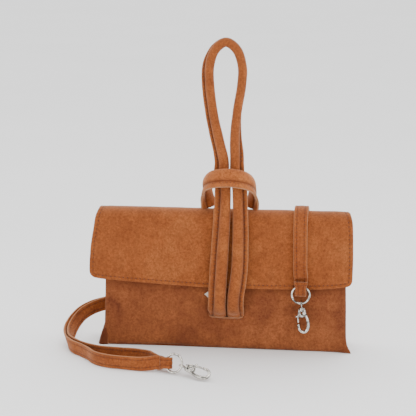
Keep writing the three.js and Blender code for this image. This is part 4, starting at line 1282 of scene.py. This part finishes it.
def tube_part(frame_at, line, section, sides=16):
    """A closed tube along local (x, z) points with half sizes section(share) -> (in plane, through)."""
    points = []
    square = 0.82  # between a circle and a rounded square
    spots = [Vector((x, 0, z)) for x, z in line]
    for i, spot in enumerate(spots):
        before, after = spots[max(i - 1, 0)], spots[min(i + 1, len(spots) - 1)]
        along = (after - before).normalized()
        normal = Vector((along.z, 0, -along.x))
        wide, deep = section(i / (len(spots) - 1))
        for k in range(sides):
            t = 2 * math.pi * k / sides
            c, s = math.cos(t), math.sin(t)
            c = math.copysign(abs(c) ** square, c)
            s = math.copysign(abs(s) ** square, s)
            p = spot + normal * (wide * c) + Vector((0, deep * s, 0))
            points.append(placed(frame_at, p.x, p.y, p.z))
    return points, quads(len(spots), sides) + caps(len(spots), sides)


def curve_points(stops, count):
    route = Route([((x, 0, z), (0, 1, 0)) for x, z in stops])
    return [(p.x, p.z) for p in (route.at(route.length * k / count)[0] for k in range(count + 1))]


def snap_hook(side, origin, eye_across, hook_across, back):
    eye_at = local_frame(origin, eye_across, back)
    hook_at = local_frame(origin, hook_across, back)
    eye_drop = -0.4
    eye_torus = torus_part(placed(eye_at, 0, 0, eye_drop), eye_at[1], 2.6, 0.9)
    post = turned(eye_at, ((1.1, -3.0), (1.1, -7.4), (1.7, -7.5), (1.9, -7.8), (1.9, -8.4), (1.6, -8.7)))
    eye = joined(f"{side}_swivel_eye", eye_torus, post)
    put(eye, f"{side}_eye", "nickel", f"{side}_clasp_eye")

    collar_profile = (
        (1.45, -4.4), (2.9, -4.4), (3.3, -4.8), (3.35, -5.6), (2.9, -6.0),
        (3.3, -6.4), (3.4, -7.1), (2.6, -7.4), (1.45, -7.4),
    )
    back_stops = (
        (2.6, -7.0), (2.7, -9.6), (3.3, -13), (4.6, -17.4), (5.1, -22), (4.6, -27),
        (2.6, -30.6), (0, -31.6), (-2.8, -30.6), (-4.7, -27.6), (-5.1, -24.6), (-5.1, -22.3),
    )
    collar = turned(hook_at, collar_profile)
    back_line = curve_points(back_stops, 46)

    def back_section(share):
        if share < 0.9:
            thick = mix(2.4, 1.75, smooth(0.1, 0.7, share))
        else:
            thick = mix(1.75, 1.55, (share - 0.9) * 10)
        if share < 0.5:
            wide = mix(1.35, 1.7, smooth(0.05, 0.45, share))
        else:
            wide = mix(1.7, 1.35, (share - 0.5) * 2)
        return wide, thick

    cheek_line = curve_points(((-2.5, -7.0), (-3.2, -9.4), (-3.1, -12.2), (-1.2, -13.6), (2.2, -13.2)), 14)
    cheeks = []
    for place in (-1.98, 1.98):
        shifted = local_frame(placed(hook_at, 0, place, 0), hook_across, back)
        cheeks.append(tube_part(shifted, cheek_line, lambda share: (1.25, 0.5), 12))
    bridge_line = curve_points(((1.1, -9.2), (1.4, -11.4), (2.6, -13.4)), 6)
    bridge = tube_part(hook_at, bridge_line, lambda share: (1.2, 2.3), 12)
    hook = joined(f"{side}_hook_body", collar, tube_part(hook_at, back_line, back_section), bridge, *cheeks)
    put(hook, f"{side}_hook", "nickel", f"{side}_clasp_hook")

    px, pz = -2.2, -12.2
    trigger_stops = (
        (px + 0.9, pz + 0.4), (px - 0.6, pz + 0.1), (px - 2.2, pz - 1.4),
        (px - 2.7, pz - 4), (px - 2.8, pz - 8.6),
    )
    trigger_line = curve_points(trigger_stops, 16)
    nub_line = curve_points(((px - 1.6, pz - 0.8), (px - 3.4, pz - 1.4), (px - 5.2, pz - 2.2)), 6)
    nub = tube_part(hook_at, nub_line, lambda share: (mix(1.1, 0.75, share), 1.25), 12)
    trigger = joined(
        f"{side}_trigger_lever",
        tube_part(hook_at, trigger_line, lambda share: (mix(1.35, 0.95, share), 1.28), 14),
        nub,
    )
    put(trigger, f"{side}_trigger", "nickel", f"{side}_clasp_trigger")

    ends = [placed(hook_at, px, y, pz) for y in (-2.62, 2.62)]
    pin_frame = local_frame(ends[0], hook_at[1], ends[1] - ends[0])
    length = (ends[1] - ends[0]).length
    head = ((0.45, 0), (0.75, 0.14), (0.8, 0.4), (0.6, 0.45))
    tail = [(radius, length - z) for radius, z in reversed(head)]
    pin = joined(f"{side}_trigger_pin", turned(pin_frame, [*head, *tail], 16))
    put(pin, f"{side}_hook", "nickel", f"{side}_clasp_pin")

    turns = []
    for k in range(3 * 14 + 1):
        t = 2 * math.pi * k / 14
        spot = placed(hook_at, -0.1 + 2.2 * k / 42, 0.7 * math.cos(t), pz - 0.8 + 0.7 * math.sin(t))
        turns.append((tuple(spot), tuple(hook_at[1])))
    wire = [(0.2 * math.cos(t), 0.2 * math.sin(t), 0, 0) for t in (2 * math.pi * k / 6 for k in range(6))]
    spring = swept(f"{side}_trigger_spring", Route(turns), 0.25, lambda distance: wire, [NICKEL])
    put(spring, f"{side}_hook", "nickel", f"{side}_clasp_spring")
    return [eye, hook, trigger, pin, spring]


def ring_point(ring, angle):
    fold, towards, along = ring
    middle = fold + towards * RING_RADIUS
    return middle + towards * (RING_RADIUS * math.cos(angle)) + along * (RING_RADIUS * math.sin(angle))


def build_hardware():
    made = {}
    for side, ring in (("right", RIGHT_RING), ("left", LEFT_RING)):
        fold, towards, along = ring
        middle = fold + towards * RING_RADIUS
        body = ring_mesh(f"{side}_strap_ring", middle, towards.cross(along), RING_RADIUS, RING_WIRE)
        put(body, f"{side}_ring", "nickel", f"{side}_ring")
        made[side] = [body]
    tilt = math.radians(6)
    back = Vector((-math.sin(tilt), 0, math.cos(tilt)))
    sideways = Vector((1, 0, 0))
    made["right"] += snap_hook("right", ring_point(RIGHT_RING, tilt), sideways, sideways, back)
    direction = Vector((0.91, -0.39, -0.13)).normalized()
    angle, roll = math.radians(14.8), math.radians(40)
    to_camera = direction.cross(Vector((0, 0, 1))).normalized()
    upward = to_camera.cross(direction).normalized()
    across = to_camera * math.cos(roll) - upward * math.sin(roll)
    tangent = LEFT_RING[1] * -math.sin(angle) + LEFT_RING[2] * math.cos(angle)
    made["left"] += snap_hook("left", ring_point(LEFT_RING, angle), tangent, across, -direction)
    return made


def dress_cad_nodes():
    """Nodes whose CAD shape is kept get their own finish and soft edges."""
    finishes = {
        "flap_board": BOARD, "base_board": BOARD, "slit_backing": SUEDE_BODY_PAINTED_SHADE, "zip_pocket": LINING,
        "zip_tape_upper": TAPE, "zip_tape_lower": TAPE, "zip_teeth_upper": TEETH, "zip_teeth_lower": TEETH,
        "zip_slider": NICKEL, "zip_puller": NICKEL, "d_ring_left": NICKEL, "d_ring_right": NICKEL,
        "d_ring_tab_left": SUEDE_BODY_PAINTED_SHADE, "d_ring_tab_right": SUEDE_BODY_PAINTED_SHADE,
    }
    for name, material in finishes.items():
        node = NODES[name]
        node.data.materials.clear()
        node.data.materials.append(material)
        if name.startswith("d_ring_left") or name.startswith("d_ring_right"):
            node.modifiers.new("round", "SUBSURF").render_levels = 2
        elif not name.startswith("zip_teeth"):
            bevel = node.modifiers.new("soften", "BEVEL")
            bevel.width = 0.00018
            bevel.segments = 2
            bevel.limit_method = "ANGLE"


# ------------------------------------------------------------------ stage
def build_stage():
    paint = Paint("studio_floor")
    grain = paint.noise(3, 2, 0.4)
    colour = paint.ramp(grain, (0.3, (0.9, 0.9, 0.9)), (0.7, (0.92, 0.92, 0.92)))
    paint.link(colour, paint.shader.inputs["Base Color"])
    paint.set(Roughness=0.8, Specular_IOR_Level=0.1)
    half, z = 12000, -0.02
    corners = [(-half, -half, z), (half, -half, z), (half, half, z), (-half, half, z)]
    floor = make_mesh("floor", corners, [(0, 1, 2, 3)], [paint.material])
    world = bpy.data.worlds.new("studio")
    bpy.context.scene.world = world
    world.use_nodes = True
    nodes, links = world.node_tree.nodes, world.node_tree.links
    background = nodes["Background"]
    background.inputs["Strength"].default_value = 2.7
    place = nodes.new("ShaderNodeTexCoord")
    split = nodes.new("ShaderNodeSeparateXYZ")
    links.new(place.outputs["Generated"], split.inputs[0])
    # the studio is white, but darker high up in front, so the metal has something to reflect
    lighter = nodes.new("ShaderNodeMath")
    lighter.operation = "MAXIMUM"
    for socket, axis, low, high in ((0, "Y", -0.25, 0.05), (1, "Z", 0.24, 0.1)):
        span = nodes.new("ShaderNodeMapRange")
        span.inputs["From Min"].default_value = low
        span.inputs["From Max"].default_value = high
        span.inputs["To Min"].default_value = 0.08
        links.new(split.outputs[axis], span.inputs["Value"])
        links.new(span.outputs["Result"], lighter.inputs[socket])
    links.new(lighter.outputs[0], background.inputs["Color"])
    for name, place, size, power in (
        ("key", (0.35, -1.1, 1.6), 1.2, 24),
        ("fill", (-1.5, -1.6, 0.7), 1.2, 11),
        ("side", (1.8, -1.2, 0.5), 0.8, 7),
    ):
        data = bpy.data.lights.new(name, "AREA")
        data.size = size
        data.energy = power
        lamp = bpy.data.objects.new(name, data)
        lamp.location = place
        aim = Vector((0, 0, 0.1)) - Vector(place)
        lamp.rotation_euler = aim.to_track_quat("-Z", "Y").to_euler()
        bpy.context.scene.collection.objects.link(lamp)


add_camera()
hardware = build_hardware()
build_strap(hardware)
build_flap()
build_panels()
build_gussets()
build_base()
build_lining()
build_wrist_loop()
build_keeper()
dress_cad_nodes()
build_stage()
